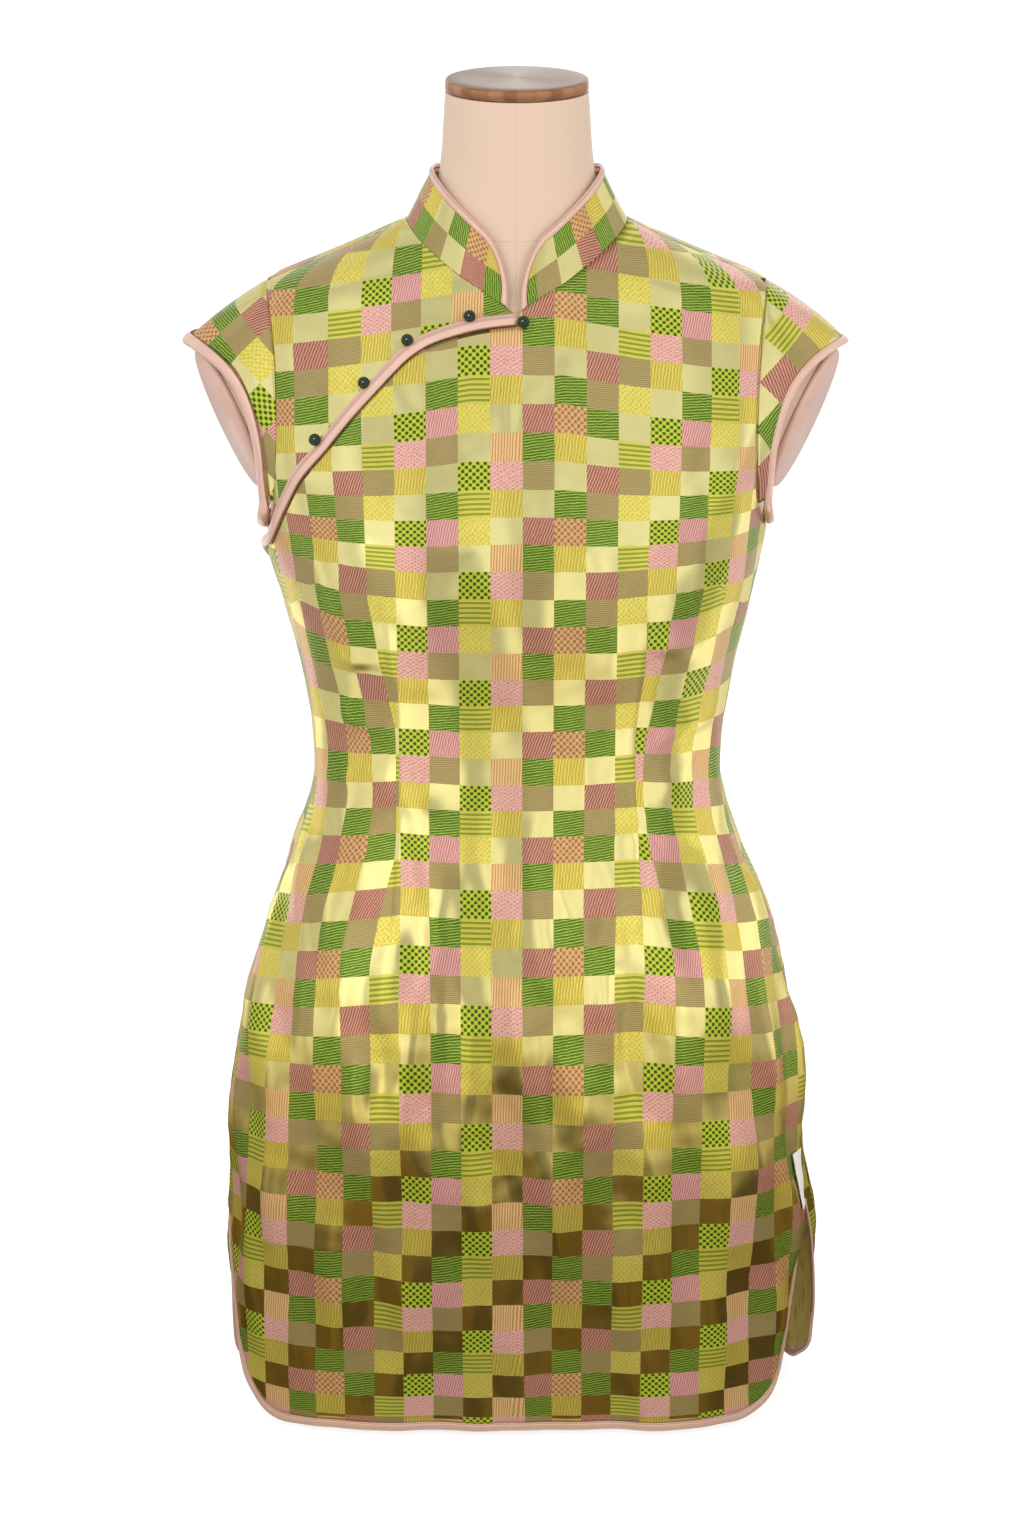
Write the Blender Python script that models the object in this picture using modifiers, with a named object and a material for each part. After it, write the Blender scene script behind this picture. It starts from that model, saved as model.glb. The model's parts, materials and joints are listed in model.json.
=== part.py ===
"""A short cheongsam standing on a limbless dress form, modelled at its real size.

The frame is metres with +Z up. The dress faces -Y, and the wearer's right side is at -X.
Sizes below are in millimetres. The dress is drawn flat first, as a pattern maker draws it:
each point has an arc, measured along the cloth from the centre line, and a height. The body
rings then wrap that flat pattern into the worn form, and Solidify gives the cloth its wall.
"""

import math

import bmesh
import bpy
import numpy as np
from mathutils import Vector

NAME = "cheongsam_on_dress_form"
MM = 0.001

# ------------------------------------------------------------------ driving sizes, millimetres
CLOTH = 1.2
COLLAR_WALL = 1.6
BINDING_WALL = 2.2
PLACKET_WALL = 1.8
BINDING_RISE = 0.5
SEAM = 0.3

HEM_HEIGHT = 4.0
SLIT_TOP = 132.0
SLIT_FOOT = 129.0
UNDERARM = 600.0
SHOULDER_POINT = 760.0
HEM_CORNER_ARC = 46.0
HEM_CORNER_RISE = 48.0

HEM_BINDING = 5.4
SLIT_BINDING = 4.3
PLACKET_BINDING = 6.2
COLLAR_BINDING = 5.4
SLEEVE_BINDING = 5.7

PLACKET_LIFT = 2.9
PLACKET_LIFT_REACH = 40.0
YOKE_UNDERLAP = 12.0
YOKE_SINK = 0.8
YOKE_SINK_REACH = 8.0

COLLAR_HEIGHT = 38.0
COLLAR_CORNER_ARC = 29.0
COLLAR_CORNER_RISE = 30.0
COLLAR_OPENING = 5.2

BEAD_RADIUS = 4.1

TORSO_BOTTOM = 215.0
TORSO_INSET = 3.6
PLATE_CENTRE_X = 187.0
PLATE_CENTRE_Z = 670.0
PLATE_HALF_LENGTH = 50.0
PLATE_HALF_WIDTH = 40.0
PLATE_THICKNESS = 4.0
PLATE_SLOPE = math.radians(23.0)
PLATE_TURN = math.radians(15.5)
STUB_INNER_X = 150.0
STUB_INNER_Z = 676.0
STUB_INNER_LENGTH = 70.0
STUB_INNER_WIDTH = 48.0
CAP_RADIUS = 46.8
CAP_BOTTOM = 886.3
CAP_TOP = 895.0
CAP_BEVEL = 1.2
POLE_RADIUS = 12.5
BASE_RADIUS = 98.0
BASE_THICKNESS = 12.0


def table(names, *rows):
    """A small table with named columns, as one array for each name."""
    return {name: np.array(values, float) for name, values in zip(names.split(), zip(*rows))}


# Half-widths of the dress at the side lines and its depths at the centre lines. Below the slit
# top the front and back hang apart. The round columns are the rings' superellipse powers.
BODY = table(
    "height front_minus front_plus back_minus back_plus front back front_round back_round",
    (4, 193.0, 184.5, 189.0, 191.0, 111.0, 120.0, 3.4, 2.5),
    (30, 193.8, 185.6, 191.0, 198.5, 112.0, 121.5, 3.2, 2.5),
    (60, 194.0, 187.2, 192.0, 200.8, 113.5, 124.0, 3.0, 2.5),
    (100, 193.8, 189.8, 192.8, 199.0, 117.0, 128.0, 2.8, 2.5),
    (132, 193.0, 193.0, 193.0, 194.0, 120.0, 130.5, 2.7, 2.5),
    (165, 191.5, 191.5, 191.5, 191.5, 122.0, 133.0, 2.6, 2.4),
    (200, 190.0, 190.0, 190.0, 190.0, 122.5, 134.0, 2.5, 2.4),
    (240, 186.5, 186.5, 186.5, 186.5, 121.5, 132.0, 2.4, 2.4),
    (270, 181.7, 181.7, 181.7, 181.7, 119.5, 128.0, 2.4, 2.4),
    (300, 174.6, 174.6, 174.6, 174.6, 116.5, 121.5, 2.4, 2.3),
    (326, 167.2, 167.2, 167.2, 167.2, 112.0, 113.0, 2.3, 2.3),
    (353, 157.9, 157.9, 157.9, 157.9, 105.5, 105.0, 2.3, 2.3),
    (381, 146.7, 146.7, 146.7, 146.7, 99.0, 96.5, 2.3, 2.3),
    (409, 138.5, 138.5, 138.5, 138.5, 94.5, 89.5, 2.3, 2.3),
    (436, 134.7, 134.7, 134.7, 134.7, 92.0, 86.0, 2.3, 2.3),
    (464, 136.1, 136.1, 136.1, 136.1, 93.5, 87.5, 2.3, 2.3),
    (491, 140.3, 140.3, 140.3, 140.3, 98.5, 92.5, 2.3, 2.4),
    (518, 145.7, 145.7, 145.7, 145.7, 106.5, 98.0, 2.4, 2.4),
    (546, 152.4, 152.4, 152.4, 152.4, 115.5, 103.0, 2.5, 2.4),
    (573, 158.8, 158.8, 158.8, 158.8, 123.5, 108.0, 2.6, 2.5),
    (600, 164.2, 164.2, 164.2, 164.2, 127.5, 112.0, 2.7, 2.5),
    (640, 171.0, 171.0, 171.0, 171.0, 121.5, 114.0, 2.7, 2.6),
    (680, 176.5, 176.5, 176.5, 176.5, 107.0, 110.0, 2.6, 2.6),
    (720, 178.0, 178.0, 178.0, 178.0, 90.5, 102.0, 2.4, 2.5),
    (740, 175.0, 175.0, 175.0, 175.0, 80.0, 94.0, 2.4, 2.4),
    (752, 169.8, 169.8, 169.8, 169.8, 72.8, 88.0, 2.4, 2.4),
    (760, 164.0, 164.0, 164.0, 164.0, 70.2, 84.0, 2.4, 2.4),
    (771, 140.0, 140.0, 140.0, 140.0, 65.5, 76.5, 2.4, 2.4),
    (780, 118.5, 118.5, 118.5, 118.5, 58.5, 70.5, 2.4, 2.4),
    (790, 96.0, 96.0, 96.0, 96.0, 48.5, 65.2, 2.4, 2.4),
    (796, 83.5, 83.5, 83.5, 83.5, 39.5, 59.0, 2.4, 2.3),
    (802, 72.0, 72.0, 72.0, 72.0, 28.0, 47.0, 2.4, 2.2),
)

# How far round from the centre line the front's slit edges lie, in degrees.
FRONT_SLIT = table(
    "height angle",
    (4, 68.0),
    (30, 69.0),
    (60, 73.0),
    (100, 81.0),
    (122, 87.0),
    (132, 90.0),
)

# The armhole seam's distance from the centre plane.
ARMHOLE = table(
    "height half_width",
    (600, 164.2),
    (606, 162.6),
    (620, 159.6),
    (645, 157.4),
    (680, 156.6),
    (710, 157.8),
    (735, 160.2),
    (750, 162.4),
    (760, 164.0),
)

# The neck seam, and the opening edge that curves from the centre front to the side seam.
FRONT_NECK = table(
    "across height",
    (0.0, 752.4),
    (8.0, 758.0),
    (16.4, 763.8),
    (29.5, 771.5),
    (43.3, 780.5),
    (55.0, 788.5),
    (64.0, 795.0),
    (69.5, 799.5),
    (72.0, 802.0),
)
BACK_NECK = table(
    "across height",
    (0.0, 789.5),
    (20.0, 790.5),
    (40.0, 793.0),
    (55.0, 796.0),
    (65.0, 799.0),
    (72.0, 802.0),
)
PLACKET = table(
    "across height",
    (0.0, 751.2),
    (21.5, 748.8),
    (38.7, 745.4),
    (55.9, 740.0),
    (70.8, 731.7),
    (91.4, 711.8),
    (108.3, 693.0),
    (124.2, 673.5),
    (140.9, 652.0),
    (151.5, 628.4),
    (158.0, 604.0),
)
PLACKET_SIDE_HEIGHT = 583.0

# How far the collar leans in: share 0 at the centre front, 1 at the centre back.
COLLAR_LEAN = table(
    "share degrees",
    (0.0, 24.0),
    (0.25, 26.0),
    (0.5, 27.0),
    (0.75, 22.0),
    (1.0, 19.0),
)

# The sleeve from its lower end up to the shoulder point: where its seam lies on the armhole,
# and the point of its hem that hangs from there.
SLEEVE = table(
    "seam_height hem_x hem_y hem_z",
    (626, 166.5, 56.5, 628.5),
    (652, 168.5, 58.5, 654.0),
    (680, 173.5, 54.5, 677.0),
    (708, 182.0, 47.0, 696.5),
    (732, 192.5, 37.5, 709.0),
    (748, 203.5, 26.5, 716.0),
    (757, 212.5, 14.0, 719.6),
    (760, 217.5, 0.0, 720.0),
)
SLEEVE_SWELL = 3.0
UNDERARM_HEIGHTS = (616.0, 607.0, 600.0)
UNDERARM_FLANGE = (0.86, 0.0, 0.51)

# Soft hollows and swells of the front: centre, reach across and up, and how far it comes out.
FRONT_SWELLS = table(
    "across height reach_across reach_up out",
    (63, 606, 34, 42, 3.4),
    (-63, 606, 34, 42, 3.4),
    (0, 600, 22, 60, -2.6),
    (104, 40, 26, 70, 3.6),
    (52, 24, 22, 60, -2.8),
    (-96, 36, 30, 64, 2.6),
    (0, 330, 60, 36, 1.6),
)

# The form's shoulders and neck, above its torso.
FORM_NECK = table(
    "height half front back round",
    (740, 171.4, 76.5, 90.5, 2.4),
    (752, 165.6, 68.5, 84.0, 2.4),
    (760, 158.5, 62.5, 79.5, 2.4),
    (771, 133.5, 56.5, 71.0, 2.3),
    (780, 112.0, 53.0, 65.0, 2.2),
    (788, 92.5, 50.3, 59.0, 1.95),
    (795, 73.5, 49.3, 54.0, 1.8),
    (803, 60.5, 48.8, 50.5, 1.9),
    (813, 54.2, 48.2, 49.2, 2.0),
    (826, 51.4, 47.8, 48.6, 2.0),
    (842, 49.7, 47.3, 48.0, 2.0),
    (864, 47.8, 46.9, 47.2, 2.0),
    (886, 46.8, 46.8, 46.8, 2.0),
)

# The first bead is on the front, below the collar's opening; the others stand on the yoke
# against the binding's upper edge, at these distances from the centre plane.
FIRST_BEAD = (4.0, 745.8)
EDGE_BEADS = (29.2, 67.5, 96.2, 125.3)
BEAD_AWAY = 2.8
BEAD_LIFT = 5.6
LABEL_LIFT = 1.5
LABEL_WALL = 1.0

# Heights of the panels' rows at their side edges, and how far each panel has columns.
LOWER_ROWS = (4, 16, 32, 54, 82, 108, 129, 135, 165, 200, 235, 270, 303, 336, 370, 403, 436, 470,
              504, 534, 560)
UPPER_ROWS = (578, 600, 607, 616, 626, 652, 680, 708, 732, 748, 757, 760, 769, 780, 791, 802)
YOKE_ROWS = (578, 588, 600, 607, 616, 626, 639, 652, 666, 680, 694, 708, 720, 732)
YOKE_NECK_ROWS = (757, 760, 764.5, 769, 774.5, 780, 785.5, 791, 796.5, 802)
YOKE_COLUMNS = 10
YOKE_FOOT_WIDTH = 5.0
FRONT_COLUMNS = 14
BACK_COLUMNS = 12
COLUMN_CROWDING = 0.12

COLOURS = {
    "brocade": (0.62, 0.55, 0.30),
    "binding": (0.80, 0.50, 0.42),
    "bead": (0.02, 0.05, 0.03),
    "label": (0.86, 0.85, 0.82),
    "jersey": (0.78, 0.58, 0.46),
    "arm_plate": (0.80, 0.47, 0.42),
    "cap": (0.80, 0.62, 0.52),
    "stand": (0.12, 0.12, 0.12),
}
FINISHES = {
    "brocade": (0.38, 0.0),
    "binding": (0.35, 0.0),
    "bead": (0.10, 0.0),
    "label": (0.60, 0.0),
    "jersey": (0.75, 0.0),
    "arm_plate": (0.45, 0.0),
    "cap": (0.25, 1.0),
    "stand": (0.45, 0.6),
}

FRONT = "front"
BACK = "back"
MINUS = -1
PLUS = 1


# ------------------------------------------------------------------ curves through the tables
def smooth(at, keys, values):
    """A cubic through the rows of a table that never swings past them."""
    at = np.clip(np.asarray(at, float), keys[0], keys[-1])
    step = np.diff(keys)
    rise = np.diff(values) / step
    slope = np.zeros(len(keys))
    slope[0] = rise[0]
    slope[-1] = rise[-1]
    before = rise[:-1]
    after = rise[1:]
    monotone = before * after > 0
    product = before * after
    total = np.where(monotone, before + after, 1.0)
    slope[1:-1] = np.where(monotone, 2.0 * product / total, 0.0)
    cell = np.clip(np.searchsorted(keys, at, side="right") - 1, 0, len(step) - 1)
    t = (at - keys[cell]) / step[cell]
    start = (1 + 2 * t) * (1 - t) ** 2 * values[cell]
    end = t * t * (3 - 2 * t) * values[cell + 1]
    lean_in = t * (1 - t) ** 2 * step[cell] * slope[cell]
    lean_out = t * t * (t - 1) * step[cell] * slope[cell + 1]
    return start + end + lean_in + lean_out


def body(name, height):
    return smooth(height, BODY["height"], BODY[name])


def half_width(side, height, sign):
    """Half-width of the ring at a height, on the side that each point's sign gives."""
    minus = body(side + "_minus", height)
    plus = body(side + "_plus", height)
    return np.where(np.asarray(sign) < 0, minus, plus)


def front_swell(across, height):
    """How far the front's soft swells come out at a point."""
    out = np.zeros(np.broadcast(across, height).shape)
    for x, z, reach_x, reach_z, depth in zip(*FRONT_SWELLS.values()):
        out = out + depth * np.exp(-((across - x) / reach_x) ** 2 - ((height - z) / reach_z) ** 2)
    return out


def ring(side, angle, height):
    """The dress's outer face: signed degrees round from the centre line, and a height."""
    angle = np.asarray(angle, float)
    height = np.asarray(height, float)
    turn = np.radians(np.minimum(np.abs(angle), 90.0))
    power = 2.0 / body(side + "_round", height)
    across = np.sign(angle) * half_width(side, height, angle) * np.sin(turn) ** power
    facing = np.maximum(np.cos(turn), 0.0)
    depth = body(side, height) * facing ** power
    if side == FRONT:
        depth = depth + front_swell(across, height) * facing
        depth = -depth
    return np.stack(np.broadcast_arrays(across, depth, height), axis=-1)


# ------------------------------------------------------------------ the flat pattern
class FlatPattern:
    """Arcs along the cloth at each height and angle, for one side of one panel."""

    angles = np.linspace(0.0, 90.0, 181)
    heights = np.arange(0.0, 806.0, 3.0)

    def __init__(self, side, sign):
        self.side = side
        self.sign = sign
        grid = ring(side, sign * self.angles[None, :], self.heights[:, None])
        steps = np.linalg.norm(np.diff(grid[..., :2], axis=1), axis=-1)
        self.arcs = np.concatenate(
            [np.zeros((len(self.heights), 1)), np.cumsum(steps, axis=1)], axis=1)

    def row(self, height):
        """The arcs at each angle, at the heights asked for."""
        place = np.clip((height - self.heights[0]) / 3.0, 0, len(self.heights) - 1.001)
        cell = place.astype(int)
        t = (place - cell)[..., None]
        return (1 - t) * self.arcs[cell] + t * self.arcs[cell + 1]

    def arc(self, angle, height):
        """Arc from the centre line at an angle."""
        angle, height = np.broadcast_arrays(np.asarray(angle, float), np.asarray(height, float))
        rows = self.row(height)
        place = np.clip(np.abs(angle) / 0.5, 0, 179.999)
        cell = place.astype(int)[..., None]
        low = np.take_along_axis(rows, cell, -1)[..., 0]
        high = np.take_along_axis(rows, cell + 1, -1)[..., 0]
        return low + (place - cell[..., 0]) * (high - low)

    def angle(self, arc, height):
        """Angle at which the cloth has run an arc."""
        arc, height = np.broadcast_arrays(np.asarray(arc, float), np.asarray(height, float))
        rows = self.row(height)
        cell = np.clip((rows <= arc[..., None]).sum(axis=-1) - 1, 0, 179)[..., None]
        low = np.take_along_axis(rows, cell, -1)[..., 0]
        high = np.take_along_axis(rows, cell + 1, -1)[..., 0]
        return 0.5 * (cell[..., 0] + np.clip((arc - low) / (high - low), 0, 1))


PATTERNS = {(side, sign): FlatPattern(side, sign) for side in (FRONT, BACK) for sign in (MINUS, PLUS)}


def place(side, arc, height, lift=0.0):
    """A point of the flat pattern, wrapped to the worn form and moved out by a lift."""
    arc, height, lift = np.broadcast_arrays(
        np.asarray(arc, float), np.asarray(height, float), np.asarray(lift, float))
    minus = PATTERNS[side, MINUS].angle(np.abs(arc), height)
    plus = PATTERNS[side, PLUS].angle(np.abs(arc), height)
    angle = np.where(arc < 0, -minus, plus)
    points = ring(side, angle, height)
    return points + lift[..., None] * outward(side, angle, height)


def outward(side, angle, height):
    """Unit normal of the outer face."""
    inside = np.clip(angle, -89.2, 89.2)
    along = ring(side, inside + 0.6, height) - ring(side, inside - 0.6, height)
    up = ring(side, inside, height + 1.0) - ring(side, inside, height - 1.0)
    normal = np.cross(along, up)
    if side == BACK:
        normal = -normal
    return normal / np.linalg.norm(normal, axis=-1, keepdims=True)


def angle_across(side, across, height, sign):
    """Angle of the point that lies a given distance from the centre plane."""
    share = np.clip(across / half_width(side, height, sign), 0.0, 1.0)
    return np.degrees(np.arcsin(share ** (body(side + "_round", height) / 2.0)))


def seam_arc(side, sign, height):
    """Arc from the centre line to the slit or the side line, as if there were no armhole."""
    angle = np.full(np.shape(height), 90.0)
    if side == FRONT:
        slit = smooth(height, FRONT_SLIT["height"], FRONT_SLIT["angle"])
        angle = np.where(np.asarray(height) < SLIT_TOP, slit, angle)
    return PATTERNS[side, sign].arc(angle, height)


def edge_arc(side, sign, height):
    """Arc from the centre line to the panel's side edge: slit, side seam, armhole, shoulder."""
    height = np.asarray(height, float)
    across = smooth(height, ARMHOLE["height"], ARMHOLE["half_width"])
    armhole = PATTERNS[side, sign].arc(angle_across(side, across, height, sign), height)
    inside_armhole = (height > UNDERARM) & (height < SHOULDER_POINT)
    return np.where(inside_armhole, armhole, seam_arc(side, sign, height))


def neck_outline(side, sign):
    """Arc and height of the neck seam, from the centre line to the neck point."""
    neck = FRONT_NECK if side == FRONT else BACK_NECK
    across = 72.0 * np.sin(np.radians(np.linspace(0.0, 90.0, 31)))
    height = smooth(across, neck["across"], neck["height"])
    angle = angle_across(side, across, height, sign)
    angle[-1] = 90.0
    return PATTERNS[side, sign].arc(angle, height), height


def placket_outline(inset=0.0):
    """Arc and height of the opening edge, from the centre front to the wearer's right side."""
    across = np.linspace(0.0, PLACKET["across"][-1], 60)
    height = smooth(across, PLACKET["across"], PLACKET["height"])
    arc = PATTERNS[FRONT, MINUS].arc(angle_across(FRONT, across, height, MINUS), height)
    side_arc = edge_arc(FRONT, MINUS, np.array(PLACKET_SIDE_HEIGHT))
    arc = np.append(arc, side_arc)
    height = np.append(height, PLACKET_SIDE_HEIGHT)
    run = np.concatenate([[0.0], np.cumsum(np.hypot(np.diff(arc), np.diff(height)))])
    even = np.linspace(0.0, run[-1], 81)
    arc = np.interp(even, run, arc)
    height = np.interp(even, run, height)
    slope_arc = np.gradient(arc)
    slope_height = np.gradient(height)
    length = np.hypot(slope_arc, slope_height)
    return arc + inset * slope_height / length, height - inset * slope_arc / length


def placket_lift(arc, height):
    """The front laps over the yoke, so it rises towards the opening edge."""
    edge_arcs, edge_heights = placket_outline()
    away = np.hypot(arc[..., None] - edge_arcs, height[..., None] - edge_heights).min(axis=-1)
    t = np.clip(1.0 - away / PLACKET_LIFT_REACH, 0.0, 1.0)
    return PLACKET_LIFT * t * t * (3 - 2 * t)


def side_inset(height, slit_inset):
    """Cloth kept back from the true side edge: the slit's binding below, the seam above."""
    t = np.clip((height - SLIT_FOOT) / (2 * (SLIT_TOP - SLIT_FOOT)), 0.0, 1.0)
    return slit_inset + t * (SEAM / 2 - slit_inset)


def hem_height(share, side, sign, slit_inset, hem_inset):
    """Height of the panel's lower edge at a share of the way to its side edge."""
    turn = np.radians(np.linspace(0.0, 90.0, 25))
    height = HEM_HEIGHT + HEM_CORNER_RISE - (HEM_CORNER_RISE - hem_inset) * np.cos(turn)
    edge = edge_arc(side, sign, height)
    arc = edge - HEM_CORNER_ARC + (HEM_CORNER_ARC - slit_inset) * np.sin(turn)
    share_there = arc / (edge - slit_inset)
    return np.interp(share, share_there, height)


# ------------------------------------------------------------------ panels
def column_shares(count):
    """Column positions that crowd a little towards the side edge, where the cloth turns."""
    t = np.linspace(0.0, 1.0, count)
    return t + COLUMN_CROWDING * np.sin(math.pi * t)


def upper_rows(top):
    """Row heights above the bust, squeezed under the upper edge of their column."""
    low = LOWER_ROWS[-1]
    share = (np.array(UPPER_ROWS, float) - low) / (UPPER_ROWS[-1] - low)
    return low + share * (top - low)


def above_hem(rows, low):
    """Row heights near the hem, squeezed up over a column's rounded corner."""
    stretch = np.clip((SLIT_FOOT - rows) / (SLIT_FOOT - HEM_HEIGHT), 0.0, 1.0)
    return rows + stretch * (low - HEM_HEIGHT)


def panel_column(share, side, sign, top):
    """Arcs and heights of one column of a panel, from the hem to its upper edge."""
    slit_inset = SLIT_BINDING + SEAM
    low = hem_height(share, side, sign, slit_inset, HEM_BINDING + SEAM)
    rows = np.array(LOWER_ROWS, float)
    height = np.concatenate([above_hem(rows, low), upper_rows(top)])
    edge = edge_at(side, sign, height) - side_inset(height, slit_inset)
    return sign * share * edge, height


def edge_at(side, sign, height):
    """The edge that a panel's columns spread to: the opened side of the front has no armhole."""
    if side == FRONT and sign == MINUS:
        return seam_arc(side, sign, height)
    return edge_arc(side, sign, height)


def shares_of(outline, side, sign):
    """An upper edge as heights at shares of the way to the side edge."""
    arc, height = outline
    return np.clip(arc / edge_at(side, sign, height), 0.0, 1.0), height


def columns_to_grid(columns):
    return np.array(columns).transpose(1, 2, 0)


def front_panel_points():
    placket = shares_of(placket_outline(inset=PLACKET_BINDING + SEAM), FRONT, MINUS)
    neck = shares_of(neck_outline(FRONT, PLUS), FRONT, PLUS)
    columns = []
    for share in column_shares(FRONT_COLUMNS)[::-1]:
        columns.append(panel_column(share, FRONT, MINUS, np.interp(share, *placket)))
    for share in column_shares(FRONT_COLUMNS)[1:]:
        columns.append(panel_column(share, FRONT, PLUS, np.interp(share, *neck) - SEAM))
    arc, height = columns_to_grid(columns)
    return place(FRONT, arc, height, placket_lift(-arc, height))


def back_panel_points():
    columns = []
    for sign, shares in ((PLUS, column_shares(BACK_COLUMNS)[::-1]),
                         (MINUS, column_shares(BACK_COLUMNS)[1:])):
        neck = shares_of(neck_outline(BACK, sign), BACK, sign)
        for share in shares:
            columns.append(panel_column(share, BACK, sign, np.interp(share, *neck) - SEAM))
    arc, height = columns_to_grid(columns)
    return place(BACK, arc, height)


def yoke_points():
    """The underlap: level rows from the armhole in to the hidden edge under the opening."""
    low_arc, low_height = placket_outline(inset=YOKE_UNDERLAP)
    low_arc = np.maximum(low_arc, 0.0)
    neck_arc, neck_height = neck_outline(FRONT, MINUS)
    neck_height = neck_height - SEAM
    height = np.concatenate([low_height[-1:], YOKE_ROWS, low_height[:1], neck_height[:1],
                             YOKE_NECK_ROWS])
    height[-1] = neck_height[-1]
    inner_arc = np.interp(height, np.concatenate([low_height[::-1], neck_height]),
                          np.concatenate([low_arc[::-1], neck_arc]))
    edge = edge_arc(FRONT, MINUS, height) - SEAM / 2
    share = np.linspace(0.0, 1.0, YOKE_COLUMNS)
    arc = edge[:, None] - share * np.maximum(edge - inner_arc, YOKE_FOOT_WIDTH)[:, None]
    height = np.repeat(height[:, None], YOKE_COLUMNS, axis=1)
    opening_arc, opening_height = placket_outline()
    opening = np.interp(height, opening_height[::-1], opening_arc[::-1])
    hidden = np.clip((opening - arc) / YOKE_SINK_REACH, 0.0, 1.0)
    return place(FRONT, -arc, height, -YOKE_SINK * hidden)


# ------------------------------------------------------------------ collar
def neck_seam():
    """The neck seam in space, from the wearer's left of the centre front round to the right."""
    points = []
    for side, sign, backwards in ((FRONT, PLUS, False), (BACK, PLUS, True),
                                  (BACK, MINUS, False), (FRONT, MINUS, True)):
        arc, height = neck_outline(side, sign)
        part = place(side, sign * arc, height)
        if backwards:
            part = part[::-1]
        points.append(part[:-1])
    points = np.concatenate(points)
    return points[np.linalg.norm(points[:, :2], axis=1) > 0]


def collar_point(along, up, lift=0.0):
    """A point of the collar: distance along the neck seam, height on the band, and lift."""
    seam = neck_seam()
    run = np.concatenate([[0.0], np.cumsum(np.linalg.norm(np.diff(seam, axis=0), axis=1))])
    length = run[-1]
    along, up, lift = np.broadcast_arrays(
        np.asarray(along, float), np.asarray(up, float), np.asarray(lift, float))
    base = np.stack([np.interp(along, run, seam[:, k]) for k in range(3)], axis=-1)
    share = 1.0 - np.abs(2.0 * along / length - 1.0)
    lean = np.radians(smooth(share, COLLAR_LEAN["share"], COLLAR_LEAN["degrees"]))
    inward = -base[..., :2] / np.linalg.norm(base[..., :2], axis=-1, keepdims=True)
    inward = np.concatenate([inward, np.zeros(inward.shape[:-1] + (1,))], axis=-1)
    raised = np.array([0.0, 0.0, 1.0])
    line = np.sin(lean)[..., None] * inward + np.cos(lean)[..., None] * raised
    normal = np.sin(lean)[..., None] * raised - np.cos(lean)[..., None] * inward
    return base + up[..., None] * line + lift[..., None] * normal


def collar_length():
    seam = neck_seam()
    return np.linalg.norm(np.diff(seam, axis=0), axis=1).sum()


def collar_end(up, inset):
    """How far the collar's front edge is set back at a height on the band."""
    start = COLLAR_HEIGHT - COLLAR_CORNER_RISE
    t = np.clip((up - start) / (COLLAR_CORNER_RISE - inset), 0.0, 1.0)
    corner = COLLAR_CORNER_ARC - (COLLAR_CORNER_ARC - inset) * np.sqrt(1.0 - t * t)
    return COLLAR_OPENING / 2 + corner


def collar_points():
    """The band itself, inside its binding."""
    inset = COLLAR_BINDING + SEAM
    top = COLLAR_HEIGHT - inset
    rows = np.array([SEAM, 8.0, 16.0, 23.0, 28.0, 31.0, top])
    length = collar_length()
    grid = []
    for up in rows:
        end = collar_end(up, inset)
        along = end + (length - 2 * end) * np.linspace(0.0, 1.0, 41)
        grid.append(collar_point(along, np.full(41, up)))
    return np.array(grid)


def collar_edge(inset):
    """Distance along and height of the free edge, set in by an amount, end to end."""
    length = collar_length()
    start = COLLAR_HEIGHT - COLLAR_CORNER_RISE
    turn = np.radians(np.linspace(0.0, 90.0, 9))
    corner_up = start + (COLLAR_CORNER_RISE - inset) * np.sin(turn)
    corner_along = COLLAR_CORNER_ARC - (COLLAR_CORNER_ARC - inset) * np.cos(turn)
    up = np.concatenate([[SEAM], corner_up])
    along = COLLAR_OPENING / 2 + np.concatenate([[inset], corner_along])
    middle = np.linspace(along[-1], length - along[-1], 31)[1:-1]
    all_along = np.concatenate([along, middle, length - along[::-1]])
    all_up = np.concatenate([up, np.full(len(middle), up[-1]), up[::-1]])
    return all_along, all_up


# ------------------------------------------------------------------ sleeves
def armhole_point(side, sign, height):
    """The worn end of the armhole seam at a height."""
    height = np.asarray(height, float)
    return place(side, sign * edge_arc(side, sign, height), height)


def sleeve_columns(sign):
    """Seam points, hem points and outward ways, from the front's lower end over the shoulder."""
    heights = SLEEVE["seam_height"]
    hem = np.stack([sign * SLEEVE["hem_x"], SLEEVE["hem_y"], SLEEVE["hem_z"]], axis=-1)
    seam = np.concatenate([armhole_point(FRONT, sign, heights),
                           armhole_point(BACK, sign, heights[-2::-1])])
    hem = np.concatenate([hem * (1, -1, 1), hem[-2::-1]])
    turn = np.linspace(-90.0, 90.0, len(seam))
    across = 0.45 * sign * np.ones(len(seam))
    facing = 0.75 * np.sin(np.radians(turn))
    out = np.stack([across, facing, 0.55 * np.ones(len(seam))], axis=-1)
    return seam, hem, out


def down_sleeve(seam, hem, out, distance):
    """Points a distance down from the seam on the lines to the hem, swelling a little."""
    line = hem - seam
    length = np.linalg.norm(line, axis=-1)
    t = distance / length
    swell = SLEEVE_SWELL * 4 * t * (1 - t) * np.clip(length / 50.0, 0.0, 1.0)
    return seam + t[:, None] * line + swell[:, None] * out


def sleeve_cloth_length(seam, hem):
    return np.maximum(np.linalg.norm(hem - seam, axis=-1) - SLEEVE_BINDING - SEAM, 2.0)


def facing_out(grid, sign):
    return grid if sign == MINUS else grid[::-1]


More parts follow.
